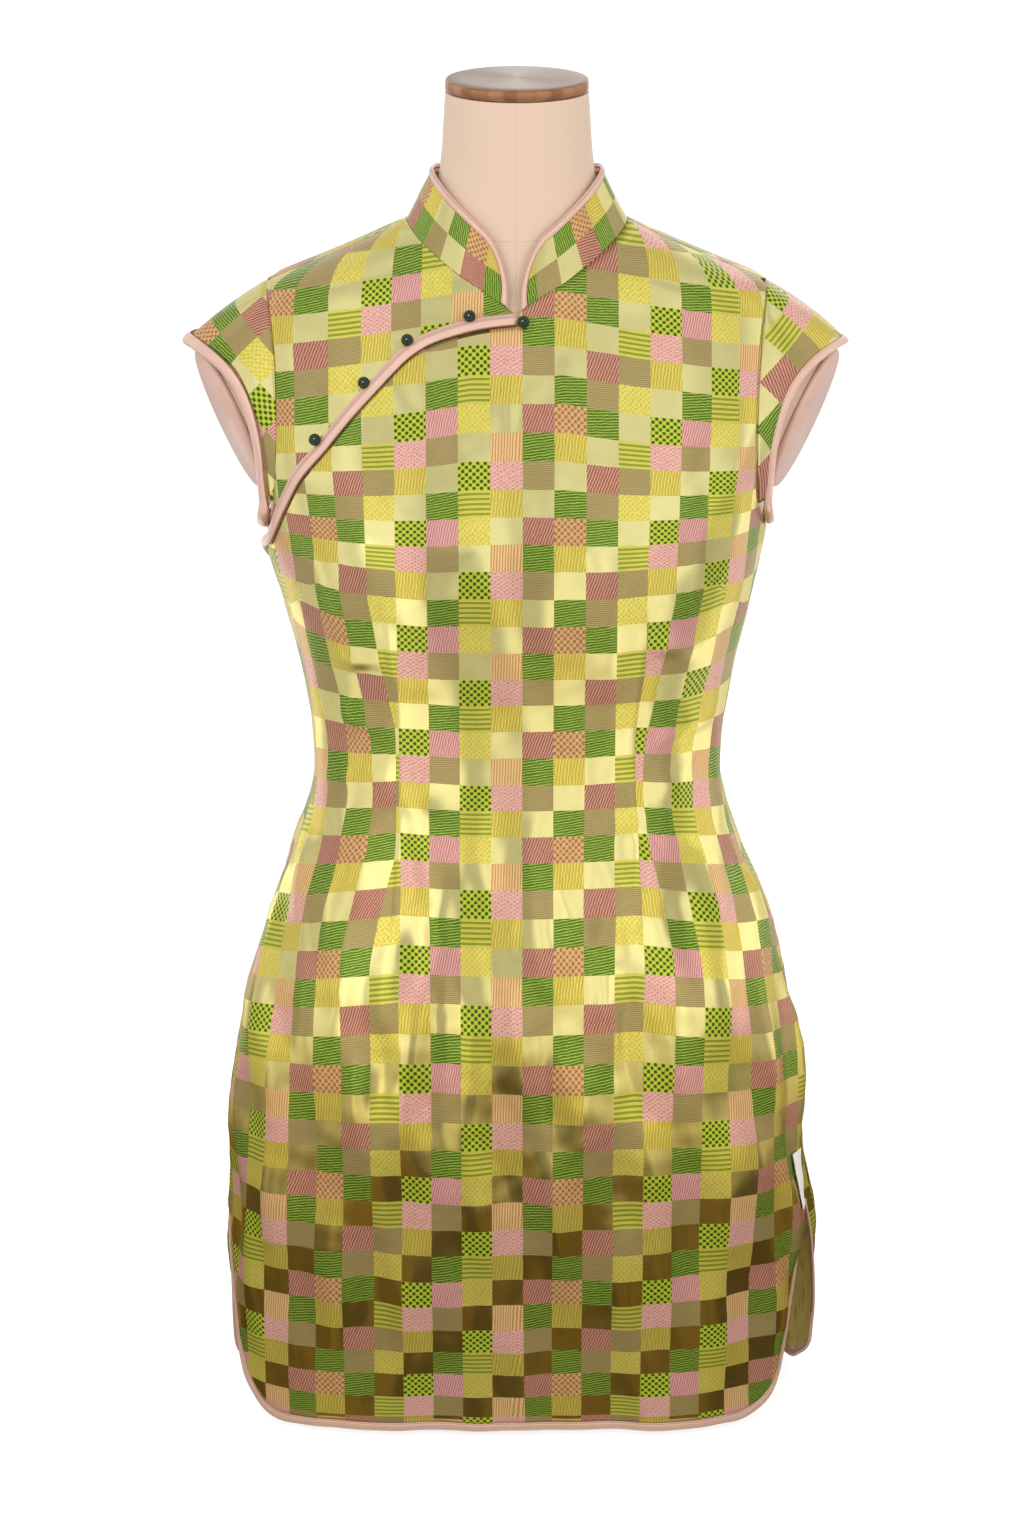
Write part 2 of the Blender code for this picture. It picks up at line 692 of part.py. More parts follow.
def sleeve_points(sign):
    seam, hem, out = sleeve_columns(sign)
    full = sleeve_cloth_length(seam, hem)
    rows = [down_sleeve(seam, hem, out, SEAM / 2 + t * (full - SEAM / 2))
            for t in np.linspace(0.0, 1.0, 6)]
    return facing_out(np.array(rows), sign)


def underarm_strip(side, sign, heights, start):
    """The binding's two edges where it goes on round the armhole, under the arm."""
    inner = []
    outer = []
    top = SLEEVE["seam_height"][0]
    for height in heights:
        t = (height - UNDERARM) / (top - UNDERARM)
        way = t * start + (1 - t) * np.array(UNDERARM_FLANGE) * (sign, 1, 1)
        way = way / np.linalg.norm(way)
        base = armhole_point(side, sign, height)
        gap = SEAM + 2.2 * t
        inner.append(base + gap * way)
        outer.append(base + (gap + SLEEVE_BINDING) * way)
    return inner, outer


def sleeve_binding_points(sign):
    """A closed strip: along the sleeve's hem, and round the armhole under the arm."""
    seam, hem, out = sleeve_columns(sign)
    start = sleeve_cloth_length(seam, hem) + SEAM
    inner = down_sleeve(seam, hem, out, start)
    outer = down_sleeve(seam, hem, out, start + SLEEVE_BINDING)
    way = (outer[-1] - inner[-1]) / np.linalg.norm(outer[-1] - inner[-1])
    back = underarm_strip(BACK, sign, UNDERARM_HEIGHTS, way)
    front = underarm_strip(FRONT, sign, UNDERARM_HEIGHTS[-2::-1], way * (1, -1, 1))
    inner = np.concatenate([inner, back[0], front[0]])
    outer = np.concatenate([outer, back[1], front[1]])
    return facing_out(np.array([inner, outer]), sign)


# ------------------------------------------------------------------ bindings
def hem_edge(side, sign, slit_inset, hem_inset):
    """Arc and height of half of the free lower edge, from the centre line to the slit top."""
    columns = FRONT_COLUMNS if side == FRONT else BACK_COLUMNS
    share = column_shares(columns)
    hem = hem_height(share, side, sign, slit_inset, hem_inset)
    rows = np.array([row for row in LOWER_ROWS if row < SLIT_TOP], float)[1:]
    slit = above_hem(rows, HEM_HEIGHT + HEM_CORNER_RISE)
    slit[-1] = SLIT_FOOT - SEAM
    share = np.concatenate([share, np.ones(len(slit))])
    height = np.concatenate([hem, slit])
    return sign * share * (edge_arc(side, sign, height) - slit_inset), height


def hem_binding_points(side):
    """The strip that covers the hem and both slit edges, with its middle raised."""
    rows = []
    for across in (0.0, 0.5, 1.0):
        minus = hem_edge(side, MINUS, across * SLIT_BINDING, across * HEM_BINDING)
        plus = hem_edge(side, PLUS, across * SLIT_BINDING, across * HEM_BINDING)
        arc = np.concatenate([minus[0][:0:-1], plus[0]])
        height = np.concatenate([minus[1][:0:-1], plus[1]])
        lift = BINDING_RISE * (1.0 + 0.6 * math.sin(math.pi * across))
        rows.append(place(side, arc, height, lift))
    grid = np.array(rows)
    if side == BACK:
        grid = grid[:, ::-1]
    return grid


def placket_binding_points():
    """The strip along the front's opening edge, on the same columns as the front."""
    share = column_shares(FRONT_COLUMNS)[::-1]
    rows = []
    for across in (1.0, 0.5, 0.0):
        outline = shares_of(placket_outline(inset=across * PLACKET_BINDING), FRONT, MINUS)
        height = np.interp(share, *outline)
        arc = -share * (edge_at(FRONT, MINUS, height) - SEAM / 2)
        lift = PLACKET_LIFT + BINDING_RISE * (0.2 + 0.6 * math.sin(math.pi * across))
        rows.append(place(FRONT, arc, height, lift))
    return np.array(rows)


def collar_binding_points():
    rows = []
    for across in (1.0, 0.5, 0.0):
        along, up = collar_edge(across * COLLAR_BINDING)
        lift = BINDING_RISE * (1.0 + 0.6 * math.sin(math.pi * across)) - 0.2
        rows.append(collar_point(along, up, lift))
    return np.array(rows)


# ------------------------------------------------------------------ objects
def material(name):
    found = bpy.data.materials.get(name)
    if found:
        return found
    made = bpy.data.materials.new(name)
    made.use_nodes = True
    shader = made.node_tree.nodes["Principled BSDF"]
    roughness, metallic = FINISHES[name]
    shader.inputs["Base Color"].default_value = (*COLOURS[name], 1.0)
    shader.inputs["Roughness"].default_value = roughness
    shader.inputs["Metallic"].default_value = metallic
    made.diffuse_color = (*COLOURS[name], 1.0)
    return made


def new_object(name, mesh_data, material_name, group):
    made = bpy.data.objects.new(name, mesh_data)
    mesh_data.materials.append(material(material_name))
    group.objects.link(made)
    return made


def sheet(name, points, wall, material_name, group, rise=0.0, closed=False):
    """Cloth: a grid laid on its points, rows upwards, with its wall on the inner side."""
    rows, columns = points.shape[:2]
    across = columns + 1 if closed else columns
    grid = bmesh.new()
    bmesh.ops.create_grid(grid, x_segments=across - 1, y_segments=rows - 1, size=1.0)
    grid.verts.ensure_lookup_table()
    for index, vertex in enumerate(grid.verts):
        row, column = divmod(index, across)
        vertex.co = Vector(points[row, column % columns] * MM)
    if closed:
        bmesh.ops.remove_doubles(grid, verts=grid.verts, dist=1e-6)
    mesh_data = bpy.data.meshes.new(name)
    grid.to_mesh(mesh_data)
    grid.free()
    mesh_data.shade_smooth()
    made = new_object(name, mesh_data, material_name, group)
    thicken = made.modifiers.new("wall", "SOLIDIFY")
    thicken.thickness = wall * MM
    thicken.offset = 2.0 * rise / wall - 1.0
    thicken.use_even_offset = False
    return made


def loft(name, sections, material_name, group):
    """A closed body through rings of equally many points, capped at both ends."""
    count = len(sections[0])
    body_mesh = bmesh.new()
    loops = [[body_mesh.verts.new(Vector(point * MM)) for point in ring_points]
             for ring_points in sections]
    for low, high in zip(loops, loops[1:]):
        for index in range(count):
            following = (index + 1) % count
            body_mesh.faces.new((low[index], low[following], high[following], high[index]))
    body_mesh.faces.new(loops[0][::-1])
    body_mesh.faces.new(loops[-1])
    bmesh.ops.recalc_face_normals(body_mesh, faces=body_mesh.faces)
    mesh_data = bpy.data.meshes.new(name)
    body_mesh.to_mesh(mesh_data)
    body_mesh.free()
    mesh_data.shade_smooth()
    return new_object(name, mesh_data, material_name, group)


def turned(name, profile, material_name, group, steps=32):
    """A body turned about +Z from a profile of radius and height, top to bottom."""
    mesh_data = bpy.data.meshes.new(name)
    vertices = [(radius * MM, 0.0, height * MM) for radius, height in profile]
    edges = [(index, index + 1) for index in range(len(profile) - 1)]
    mesh_data.from_pydata(vertices, edges, [])
    made = new_object(name, mesh_data, material_name, group)
    screw = made.modifiers.new("turn", "SCREW")
    screw.steps = steps
    screw.render_steps = steps
    screw.use_merge_vertices = True
    screw.merge_threshold = 0.00005
    screw.use_smooth_shade = True
    return made


# ------------------------------------------------------------------ the dress form
def form_ring(height, steps=36):
    """One level ring of the form, counter-clockwise from the wearer's left side."""
    if height < FORM_NECK["height"][0]:
        half = float(body("back_minus", height)) - TORSO_INSET
        front = float(body("front", height)) - TORSO_INSET
        back = float(body("back", height)) - TORSO_INSET
        power = 2.0 / float(min(body("front_round", height), body("back_round", height)))
    else:
        half, front, back, rounding = (
            float(smooth(height, FORM_NECK["height"], FORM_NECK[name]))
            for name in ("half", "front", "back", "round"))
        power = 2.0 / rounding
    points = []
    for step in range(steps):
        turn = 2 * math.pi * step / steps
        cosine = math.cos(turn)
        sine = math.sin(turn)
        x = half * math.copysign(abs(cosine) ** power, cosine)
        depth = back if sine > 0 else front
        y = depth * math.copysign(abs(sine) ** power, sine)
        if sine < 0:
            y += float(front_swell(x, height)) * sine
        points.append(np.array([x, y, height]))
    return points


def plate_frame(sign):
    """The arm plate's centre, its two long axes and the way it faces."""
    centre = np.array([sign * PLATE_CENTRE_X, 0.0, PLATE_CENTRE_Z])
    length_way = np.array([sign * math.sin(PLATE_SLOPE), 0.0, math.cos(PLATE_SLOPE)])
    facing = np.array([sign * math.cos(PLATE_SLOPE), 0.0, -math.sin(PLATE_SLOPE)])
    forward = np.array([0.0, -1.0, 0.0])
    width_way = math.cos(PLATE_TURN) * forward - math.sin(PLATE_TURN) * facing
    normal = math.cos(PLATE_TURN) * facing + math.sin(PLATE_TURN) * forward
    return centre, length_way, width_way, normal


def oval(centre, length_way, width_way, half_length, half_width_there, steps=32):
    ring_points = []
    for step in range(steps):
        turn = 2 * math.pi * step / steps
        ring_points.append(centre + half_length * math.cos(turn) * length_way
                           + half_width_there * math.sin(turn) * width_way)
    return ring_points


def arm_plate(name, sign, group):
    centre, length_way, width_way, normal = plate_frame(sign)
    bevel = 1.0
    sections = []
    for depth, shrink in ((0.0, bevel), (bevel, 0.0), (PLATE_THICKNESS - bevel, 0.0),
                          (PLATE_THICKNESS, bevel)):
        sections.append(oval(centre + (SEAM + depth) * normal, length_way, width_way,
                             PLATE_HALF_LENGTH - shrink, PLATE_HALF_WIDTH - shrink))
    return loft(name, sections, "arm_plate", group)


def arm_stub(sign, cutters):
    """The stump of the form's arm, from inside the torso out to the plate."""
    centre, length_way, width_way, normal = plate_frame(sign)
    inner = np.array([sign * STUB_INNER_X, 0.0, STUB_INNER_Z])
    upright = np.array([sign * 0.10, 0.0, 0.995])
    forward = np.array([0.0, -1.0, 0.0])
    sections = [
        oval(inner, upright, forward, STUB_INNER_LENGTH, STUB_INNER_WIDTH),
        oval(centre, length_way, width_way, PLATE_HALF_LENGTH - 1.5, PLATE_HALF_WIDTH - 1.5),
    ]
    stub = loft("stub_minus" if sign < 0 else "stub_plus", sections, "jersey", cutters)
    stub.hide_render = True
    stub.display_type = "WIRE"
    return stub


def form_torso(group, cutters):
    heights = [TORSO_BOTTOM, 250, 285, 320, 352, 382, 410, 436, 462, 490, 520, 550, 578, 604,
               632, 660, 690, 714, 732, 746, 754, 762, 771, 780, 788, 795, 803, 813, 826, 850,
               886]
    torso = loft("form_torso", [form_ring(height) for height in heights], "jersey", group)
    for sign in (MINUS, PLUS):
        join = torso.modifiers.new("arm_stub", "BOOLEAN")
        join.operation = "UNION"
        join.solver = "EXACT"
        join.object = arm_stub(sign, cutters)
    return torso


def build_form(group, cutters):
    form_torso(group, cutters)
    arm_plate("form_arm_plate_right", MINUS, group)
    arm_plate("form_arm_plate_left", PLUS, group)
    turned("form_neck_cap", [
        (0.0, CAP_TOP), (CAP_RADIUS - 8.0, CAP_TOP), (CAP_RADIUS - CAP_BEVEL, CAP_TOP),
        (CAP_RADIUS, CAP_TOP - CAP_BEVEL), (CAP_RADIUS, CAP_BOTTOM), (0.0, CAP_BOTTOM),
    ], "cap", group, steps=40)
    turned("form_pole", [
        (0.0, TORSO_BOTTOM - SEAM), (POLE_RADIUS, TORSO_BOTTOM - SEAM),
        (POLE_RADIUS, BASE_THICKNESS + SEAM), (0.0, BASE_THICKNESS + SEAM),
    ], "stand", group, steps=16)
    turned("form_base", [
        (0.0, BASE_THICKNESS), (BASE_RADIUS - 3.0, BASE_THICKNESS),
        (BASE_RADIUS, BASE_THICKNESS - 3.0), (BASE_RADIUS, 0.0), (0.0, 0.0),
    ], "stand", group, steps=48)


# ------------------------------------------------------------------ the dress
def bead_centres():
    """Where the five beads lie, from the centre front down the opening."""
    across, height = FIRST_BEAD
    arc = PATTERNS[FRONT, PLUS].arc(angle_across(FRONT, across, height, PLUS), height)
    centres = [place(FRONT, arc, height, PLACKET_LIFT + SEAM + BEAD_RADIUS)]
    edge_arcs, edge_heights = placket_outline()
    bead_arcs, bead_heights = placket_outline(inset=-BEAD_AWAY)
    edge = place(FRONT, -edge_arcs, edge_heights)
    for across in EDGE_BEADS:
        nearest = np.argmin(np.abs(-edge[:, 0] - across))
        centres.append(place(FRONT, -bead_arcs[nearest], bead_heights[nearest], BEAD_LIFT))
    return centres


def build_beads(group):
    """Five round beads along the opening edge."""
    for number, centre in enumerate(bead_centres(), start=1):
        ball = bmesh.new()
        bmesh.ops.create_uvsphere(ball, u_segments=12, v_segments=7, radius=BEAD_RADIUS * MM)
        mesh_data = bpy.data.meshes.new(f"bead_{number}")
        ball.to_mesh(mesh_data)
        ball.free()
        mesh_data.shade_smooth()
        bead = new_object(f"bead_{number}", mesh_data, "bead", group)
        bead.location = Vector(centre * MM)


def build_label(group):
    """A blank tab on the side of the front panel, above the wearer's left slit."""
    heights = np.linspace(SLIT_TOP + 6.0, SLIT_TOP + 44.0, 4)
    arcs = np.array([48.0, 40.0, 32.0])
    rows = []
    for height in heights:
        edge = edge_arc(FRONT, PLUS, np.array(height))
        rows.append(place(FRONT, edge - arcs, np.full(3, height), LABEL_LIFT))
    sheet("side_label", np.array(rows), LABEL_WALL, "label", group)


def build_dress(group):
    sheet("front_panel", front_panel_points(), CLOTH, "brocade", group)
    sheet("front_yoke", yoke_points(), CLOTH, "brocade", group)
    sheet("back_panel", back_panel_points(), CLOTH, "brocade", group)
    sheet("collar", collar_points(), COLLAR_WALL, "brocade", group)
    for name, sign in (("right", MINUS), ("left", PLUS)):
        sheet(f"sleeve_{name}", sleeve_points(sign), CLOTH, "brocade", group)
        sheet(f"binding_sleeve_{name}", sleeve_binding_points(sign), BINDING_WALL, "binding",
              group, rise=BINDING_RISE, closed=True)
    sheet("binding_collar", collar_binding_points(), BINDING_WALL, "binding", group)
    sheet("binding_placket", placket_binding_points(), PLACKET_WALL, "binding", group)
    sheet("binding_front_hem", hem_binding_points(FRONT), BINDING_WALL, "binding", group)
    sheet("binding_back_hem", hem_binding_points(BACK), BINDING_WALL, "binding", group)
    build_beads(group)
    build_label(group)


def main():
    for old in list(bpy.data.objects):
        bpy.data.objects.remove(old, do_unlink=True)
    group = bpy.data.collections.new(NAME)
    cutters = bpy.data.collections.new("cutters")
    bpy.context.scene.collection.children.link(group)
    bpy.context.scene.collection.children.link(cutters)
    build_form(group, cutters)
    build_dress(group)


main()
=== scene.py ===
"""Makes a short patchwork-brocade cheongsam worn by a limbless dress form."""

import json
import math

import bmesh
import bpy
import numpy as np
from bpy.props import FloatProperty, FloatVectorProperty, PointerProperty
from mathutils import Matrix, Vector

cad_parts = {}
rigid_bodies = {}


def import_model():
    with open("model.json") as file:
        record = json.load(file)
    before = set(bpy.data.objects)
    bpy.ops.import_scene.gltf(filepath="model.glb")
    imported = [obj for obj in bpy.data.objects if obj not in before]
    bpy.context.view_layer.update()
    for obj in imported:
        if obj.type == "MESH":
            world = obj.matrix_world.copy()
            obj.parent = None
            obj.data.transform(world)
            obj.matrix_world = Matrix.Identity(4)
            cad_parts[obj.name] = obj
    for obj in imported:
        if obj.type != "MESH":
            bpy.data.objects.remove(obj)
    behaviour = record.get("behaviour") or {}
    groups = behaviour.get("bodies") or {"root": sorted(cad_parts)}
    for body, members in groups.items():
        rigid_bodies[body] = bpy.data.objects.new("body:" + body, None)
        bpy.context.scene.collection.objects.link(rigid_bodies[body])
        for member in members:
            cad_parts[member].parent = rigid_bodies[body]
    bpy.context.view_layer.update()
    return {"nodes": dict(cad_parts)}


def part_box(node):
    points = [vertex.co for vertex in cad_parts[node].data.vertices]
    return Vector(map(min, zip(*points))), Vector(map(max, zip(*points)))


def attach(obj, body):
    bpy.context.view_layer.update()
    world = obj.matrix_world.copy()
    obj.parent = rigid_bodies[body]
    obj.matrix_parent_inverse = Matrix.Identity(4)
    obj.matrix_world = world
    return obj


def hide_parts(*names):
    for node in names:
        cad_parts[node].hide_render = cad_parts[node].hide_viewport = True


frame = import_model()

bl_info = {
    "name": "Cheongsam on a Dress Form",
    "version": (1, 0, 0),
    "blender": (4, 5, 0),
    "location": "3D View > Sidebar > Cheongsam",
    "description": "Makes a patchwork brocade cheongsam worn by a limbless dress form",
    "category": "Add Mesh",
}

# ---- sizes, in millimetres
MM = 0.001
FRONT, BACK = "front", "back"
RIGHT, LEFT = -1, 1

CLOTH = 1.2
BINDING = 2.0
BINDING_LIFT = 0.3
BINDING_RISE = 0.9
NARROW_RISE = 1.0
SEAM = 0.3
# How far the collar and the sleeves reach in under the panels they are sewn to.
SEAM_TUCK = 1.1
HEM_HEIGHT = 4.0
HEM_CORNER_ARC = 46.0
HEM_CORNER_RISE = 48.0
SLIT_TOP = 132.0
SLIT_FOOT = 129.0
UNDERARM = 600.0
SHOULDER_POINT = (164.0, 0.0, 760.0)
NECK_RADIUS = 72.0
HEM_BINDING = 5.4
SLIT_BINDING = 4.3
PLACKET_BINDING = 6.2
PLACKET_WALL = 1.8
PLACKET_LIFT = 2.9
PLACKET_LIFT_REACH = 40.0
PLACKET_SIDE_HEIGHT = 583.0
YOKE_UNDERLAP = 12.0
YOKE_HIDDEN_DROP = 0.8
COLLAR_CLOTH = 1.6
COLLAR_HEIGHT = 38.0
COLLAR_CORNER_ARC = 29.0
COLLAR_CORNER_RISE = 30.0
COLLAR_OPENING = 5.2
COLLAR_BINDING = 5.4
COLLAR_BINDING_LIFT = 0.2
COLLAR_WALL = 2.2
SLEEVE_BINDING = 5.7
SLEEVE_SWELL = 3.0
UNDERARM_HEIGHTS = (616.0, 607.0, 600.0)
UNDERARM_FLANGE = (0.86, 0.0, 0.51)
PUCKER_DEPTH = 0.34
LABEL_FOOT = 6.0
LABEL_SIZE = (16.0, 38.0)
LABEL_FROM_SIDE = 48.0
LABEL_LIFT = 1.5
LABEL_WALL = 0.8
# A panel's rows below and above this height, where the bust and the shoulders curve; its
# columns beyond and within each waist dart, and the share of its width between those two.
CLOSE_ROWS_START = 560.0
PANEL_ROWS = (172, 58)
FRONT_COLUMNS = (26, 34)
BACK_COLUMNS = (24, 30)
DART_STEP = 0.16 / 150.0
# The other sheets' rows and columns.
YOKE_GRID = (96, 56)
COLLAR_GRID = (26, 190)
SLEEVE_GRID = (24, 97)


def table(names, rows):
    """A small table: one array for each named column. An = repeats the number before it."""
    cells = [row.split() for row in rows.replace("\n", ";").split(";") if row.strip()]
    for row in cells:
        for index, cell in enumerate(row):
            row[index] = row[index - 1] if cell == "=" else float(cell)
    return dict(zip(names.split(), np.array(cells).T))


# Half-widths of the dress at the side lines and its depths at the centre lines. Below the slit
# top the front and back hang apart. The round columns are the rings' superellipse powers.
BODY = table("height front_minus front_plus back_minus back_plus front back front_round back_round", """
    4 193 184.5 189 191 111 120 3.4 2.5; 30 193.8 185.6 191 198.5 112 121.5 3.2 2.5
    60 194 187.2 192 200.8 113.5 124 3 2.5; 100 193.8 189.8 192.8 199 117 128 2.8 2.5
    132 193 193 193 194 120 130.5 2.7 2.5; 165 191.5 = = = 122 133 2.6 2.4
    200 190 = = = 122.5 134 2.5 2.4; 240 186.5 = = = 121.5 132 2.4 2.4
    270 181.7 = = = 119.5 128 2.4 2.4; 300 174.6 = = = 116.5 121.5 2.4 2.3
    326 167.2 = = = 112 113 2.3 2.3; 353 157.9 = = = 105.5 105 2.3 2.3
    381 146.7 = = = 99 96.5 2.3 2.3; 409 138.5 = = = 94.5 89.5 2.3 2.3
    436 134.7 = = = 92 86 2.3 2.3; 464 136.1 = = = 93.5 87.5 2.3 2.3
    491 140.3 = = = 98.5 92.5 2.3 2.4; 518 145.7 = = = 106.5 98 2.4 2.4
    546 152.4 = = = 115.5 103 2.5 2.4; 573 158.8 = = = 123.5 108 2.6 2.5
    600 164.2 = = = 127.5 112 2.7 2.5; 640 171 = = = 121.5 114 2.7 2.6
    680 176.5 = = = 107 110 2.6 2.6; 720 178 = = = 90.5 102 2.4 2.5; 740 175 = = = 80 94 2.4 2.4
    752 169.8 = = = 72.8 88 2.4 2.4; 760 164 = = = 70.2 84 2.4 2.4
    771 140 = = = 65.5 76.5 2.4 2.4; 780 118.5 = = = 58.5 70.5 2.4 2.4
    790 96 = = = 48.5 65.2 2.4 2.4; 796 83.5 = = = 39.5 59 2.4 2.3; 802 72 = = = 28 47 2.4 2.2
""")
# How far round from the centre line the front's slit edges lie, in degrees.
FRONT_SLIT = table("height angle", "4 68; 30 69; 60 73; 100 81; 122 87; 132 90")
# The armhole seam's distance from the centre plane.
ARMHOLE = table("height half_width", """
    600 164.2; 606 162.6; 620 159.6; 645 157.4; 680 156.6; 710 157.8; 735 160.2; 750 162.4
    760 164
""")
# The neck seam, and the opening edge that curves from the centre front to the side seam.
FRONT_NECK = table("across height", """
    0 752.4; 8 758; 16.4 763.8; 29.5 771.5; 43.3 780.5; 55 788.5; 64 795; 69.5 799.5; 72 802
""")
BACK_NECK = table("across height", "0 789.5; 20 790.5; 40 793; 55 796; 65 799; 72 802")
PLACKET = table("across height", """
    0 751.2; 21.5 748.8; 38.7 745.4; 55.9 740; 70.8 731.7; 91.4 711.8; 108.3 693; 124.2 673.5
    140.9 652; 151.5 628.4; 158 604
""")
# How far the collar leans in: share 0 at the centre front, 1 at the centre back.
COLLAR_LEAN = table("share degrees", "0 24; 0.25 26; 0.5 27; 0.75 22; 1 19")
# The sleeve from its lower end up to the shoulder point: where its seam lies on the armhole,
# and the point of its hem that hangs from there.
SLEEVE = table("seam_height hem_x hem_y hem_z", """
    626 166.5 56.5 628.5; 652 168.5 58.5 654; 680 173.5 54.5 677; 708 182 47 696.5
    732 192.5 37.5 709; 748 203.5 26.5 716; 757 212.5 14 719.6; 760 217.5 0 720
""")
# Soft hollows and swells of the front: where each lies, which way it runs, how long and wide
# it is, and how far it comes out.
FRONT_SWELLS = table("arc height degrees long wide out", """
    63 606 0 34 42 3.4; -63 606 0 34 42 3.4; 0 600 0 22 60 -2.6; 104 40 0 26 70 3.6
    52 24 0 22 60 -2.8; -96 36 0 30 64 2.6; 0 330 0 60 36 1.6
""")


# ---- curves through the tables
def straight(rows, name, at):
    """A column of a table, in straight lines from row to row."""
    return np.interp(at, next(iter(rows.values())), rows[name])


def curve(rows, name, at):
    """A column of a table, as a cubic through its rows that never swings past them."""
    keys, values = next(iter(rows.values())), rows[name]
    at = np.clip(np.asarray(at, float), keys[0], keys[-1])
    step = np.diff(keys)
    rise = np.diff(values) / step
    before, after = rise[:-1], rise[1:]
    product = before * after
    total = np.where(product > 0, before + after, 1.0)
    inner = np.where(product > 0, 2.0 * product / total, 0.0)
    slope = np.concatenate([rise[:1], inner, rise[-1:]])
    cell = np.clip(np.searchsorted(keys, at, side="right") - 1, 0, len(step) - 1)
    t = (at - keys[cell]) / step[cell]
    start = (1 + 2 * t) * (1 - t) ** 2 * values[cell]
    end = t * t * (3 - 2 * t) * values[cell + 1]
    lean_in = t * (1 - t) ** 2 * step[cell] * slope[cell]
    lean_out = t * t * (t - 1) * step[cell] * slope[cell + 1]
    return start + end + lean_in + lean_out


def spread(*values):
    """The values as arrays of one shape."""
    return np.broadcast_arrays(*(np.asarray(value, float) for value in values))


def unit(vectors):
    return vectors / np.linalg.norm(vectors, axis=-1, keepdims=True)


def running(steps):
    """How far a line has run at each of its points."""
    return np.concatenate([[0.0], np.cumsum(steps)])


def swells(arc, height, rows):
    """How far a table's soft swells and drag lines come out at a point."""
    out = np.zeros(np.broadcast(arc, height).shape)
    for at, up, degrees, long, wide, depth in zip(*rows.values()):
        turn = math.radians(degrees)
        along = (arc - at) * math.cos(turn) + (height - up) * math.sin(turn)
        across = (height - up) * math.cos(turn) - (arc - at) * math.sin(turn)
        out = out + depth * np.exp(-(along / long) ** 2 - (across / wide) ** 2)
    return out


def half_width(side, height, sign):
    """Half-width of the ring at a height, on the side that each point's sign gives."""
    minus, plus = (curve(BODY, side + end, height) for end in ("_minus", "_plus"))
    return np.where(np.asarray(sign) < 0, minus, plus)


def ring(side, angle, height):
    """The dress's outer face: signed degrees round from the centre line, and a height."""
    angle, height = np.asarray(angle, float), np.asarray(height, float)
    turn = np.radians(np.minimum(np.abs(angle), 90.0))
    power = 2.0 / curve(BODY, side + "_round", height)
    across = np.sign(angle) * half_width(side, height, angle) * np.sin(turn) ** power
    facing = np.maximum(np.cos(turn), 0.0)
    depth = curve(BODY, side, height) * facing ** power
    if side == FRONT:
        depth = -(depth + swells(across, height, FRONT_SWELLS) * facing)
    return np.stack(np.broadcast_arrays(across, depth, height), axis=-1)


# ---- the flat pattern
class FlatPattern:
    """Arcs along the cloth at each height and angle, for one half of one side."""

    degree_step = 0.5
    height_step = 3.0

    def __init__(self, side, sign):
        angles = np.arange(0.0, 90.1, self.degree_step)
        self.cells = len(angles) - 1
        heights = np.arange(0.0, 806.0, self.height_step)
        grid = ring(side, sign * angles[None, :], heights[:, None])
        steps = np.linalg.norm(np.diff(grid[..., :2], axis=1), axis=-1)
        self.arcs = np.pad(np.cumsum(steps, axis=1), ((0, 0), (1, 0)))

    def rows(self, value, height):
        """A value at each point, and the arcs of every angle at the point's height."""
        value, height = spread(value, height)
        at = np.clip(height / self.height_step, 0, len(self.arcs) - 1.001)
        cell = at.astype(int)
        t = (at - cell)[..., None]
        return value, (1 - t) * self.arcs[cell] + t * self.arcs[cell + 1]

    def ends(self, rows, cell):
        """The arcs at both ends of each point's cell."""
        return (np.take_along_axis(rows, cell[..., None] + k, -1)[..., 0] for k in (0, 1))

    def arc(self, angle, height):
        """Arc from the centre line at an angle."""
        angle, rows = self.rows(angle, height)
        at = np.clip(np.abs(angle) / self.degree_step, 0, self.cells - 0.001)
        cell = at.astype(int)
        low, high = self.ends(rows, cell)
        return low + (at - cell) * (high - low)

    def angle(self, arc, height):
        """Angle at which the cloth has run an arc."""
        arc, rows = self.rows(arc, height)
        cell = np.clip((rows <= arc[..., None]).sum(axis=-1) - 1, 0, self.cells - 1)
        low, high = self.ends(rows, cell)
        return self.degree_step * (cell + np.clip((arc - low) / (high - low), 0, 1))


PATTERNS = {(side, sign): FlatPattern(side, sign) for side in (FRONT, BACK) for sign in (RIGHT, LEFT)}


def outward(side, angle, height):
    """Unit normal of the outer face."""
    inside = np.clip(angle, -89.2, 89.2)
    along = ring(side, inside + 0.6, height) - ring(side, inside - 0.6, height)
    up = ring(side, inside, height + 1.0) - ring(side, inside, height - 1.0)
    return unit(np.cross(along, up) * (-1 if side == BACK else 1))


def place(side, arc, height, lift=0.0):
    """A point of the flat pattern, wrapped to the worn form and moved out by a lift."""
    arc, height, lift = spread(arc, height, lift)
    minus, plus = (PATTERNS[side, sign].angle(np.abs(arc), height) for sign in (RIGHT, LEFT))
    angle = np.where(arc < 0, -minus, plus)
    return ring(side, angle, height) + lift[..., None] * outward(side, angle, height)


def angle_across(side, across, height, sign):
    """Angle of the point that lies a given distance from the centre plane."""
    share = np.clip(across / half_width(side, height, sign), 0.0, 1.0)
    return np.degrees(np.arcsin(share ** (curve(BODY, side + "_round", height) / 2.0)))


def seam_arc(side, sign, height):
    """Arc from the centre line to the slit or the side line, as if there were no armhole."""
    angle = np.full(np.shape(height), 90.0)
    if side == FRONT:
        angle = np.where(np.asarray(height) < SLIT_TOP, curve(FRONT_SLIT, "angle", height), angle)
    return PATTERNS[side, sign].arc(angle, height)


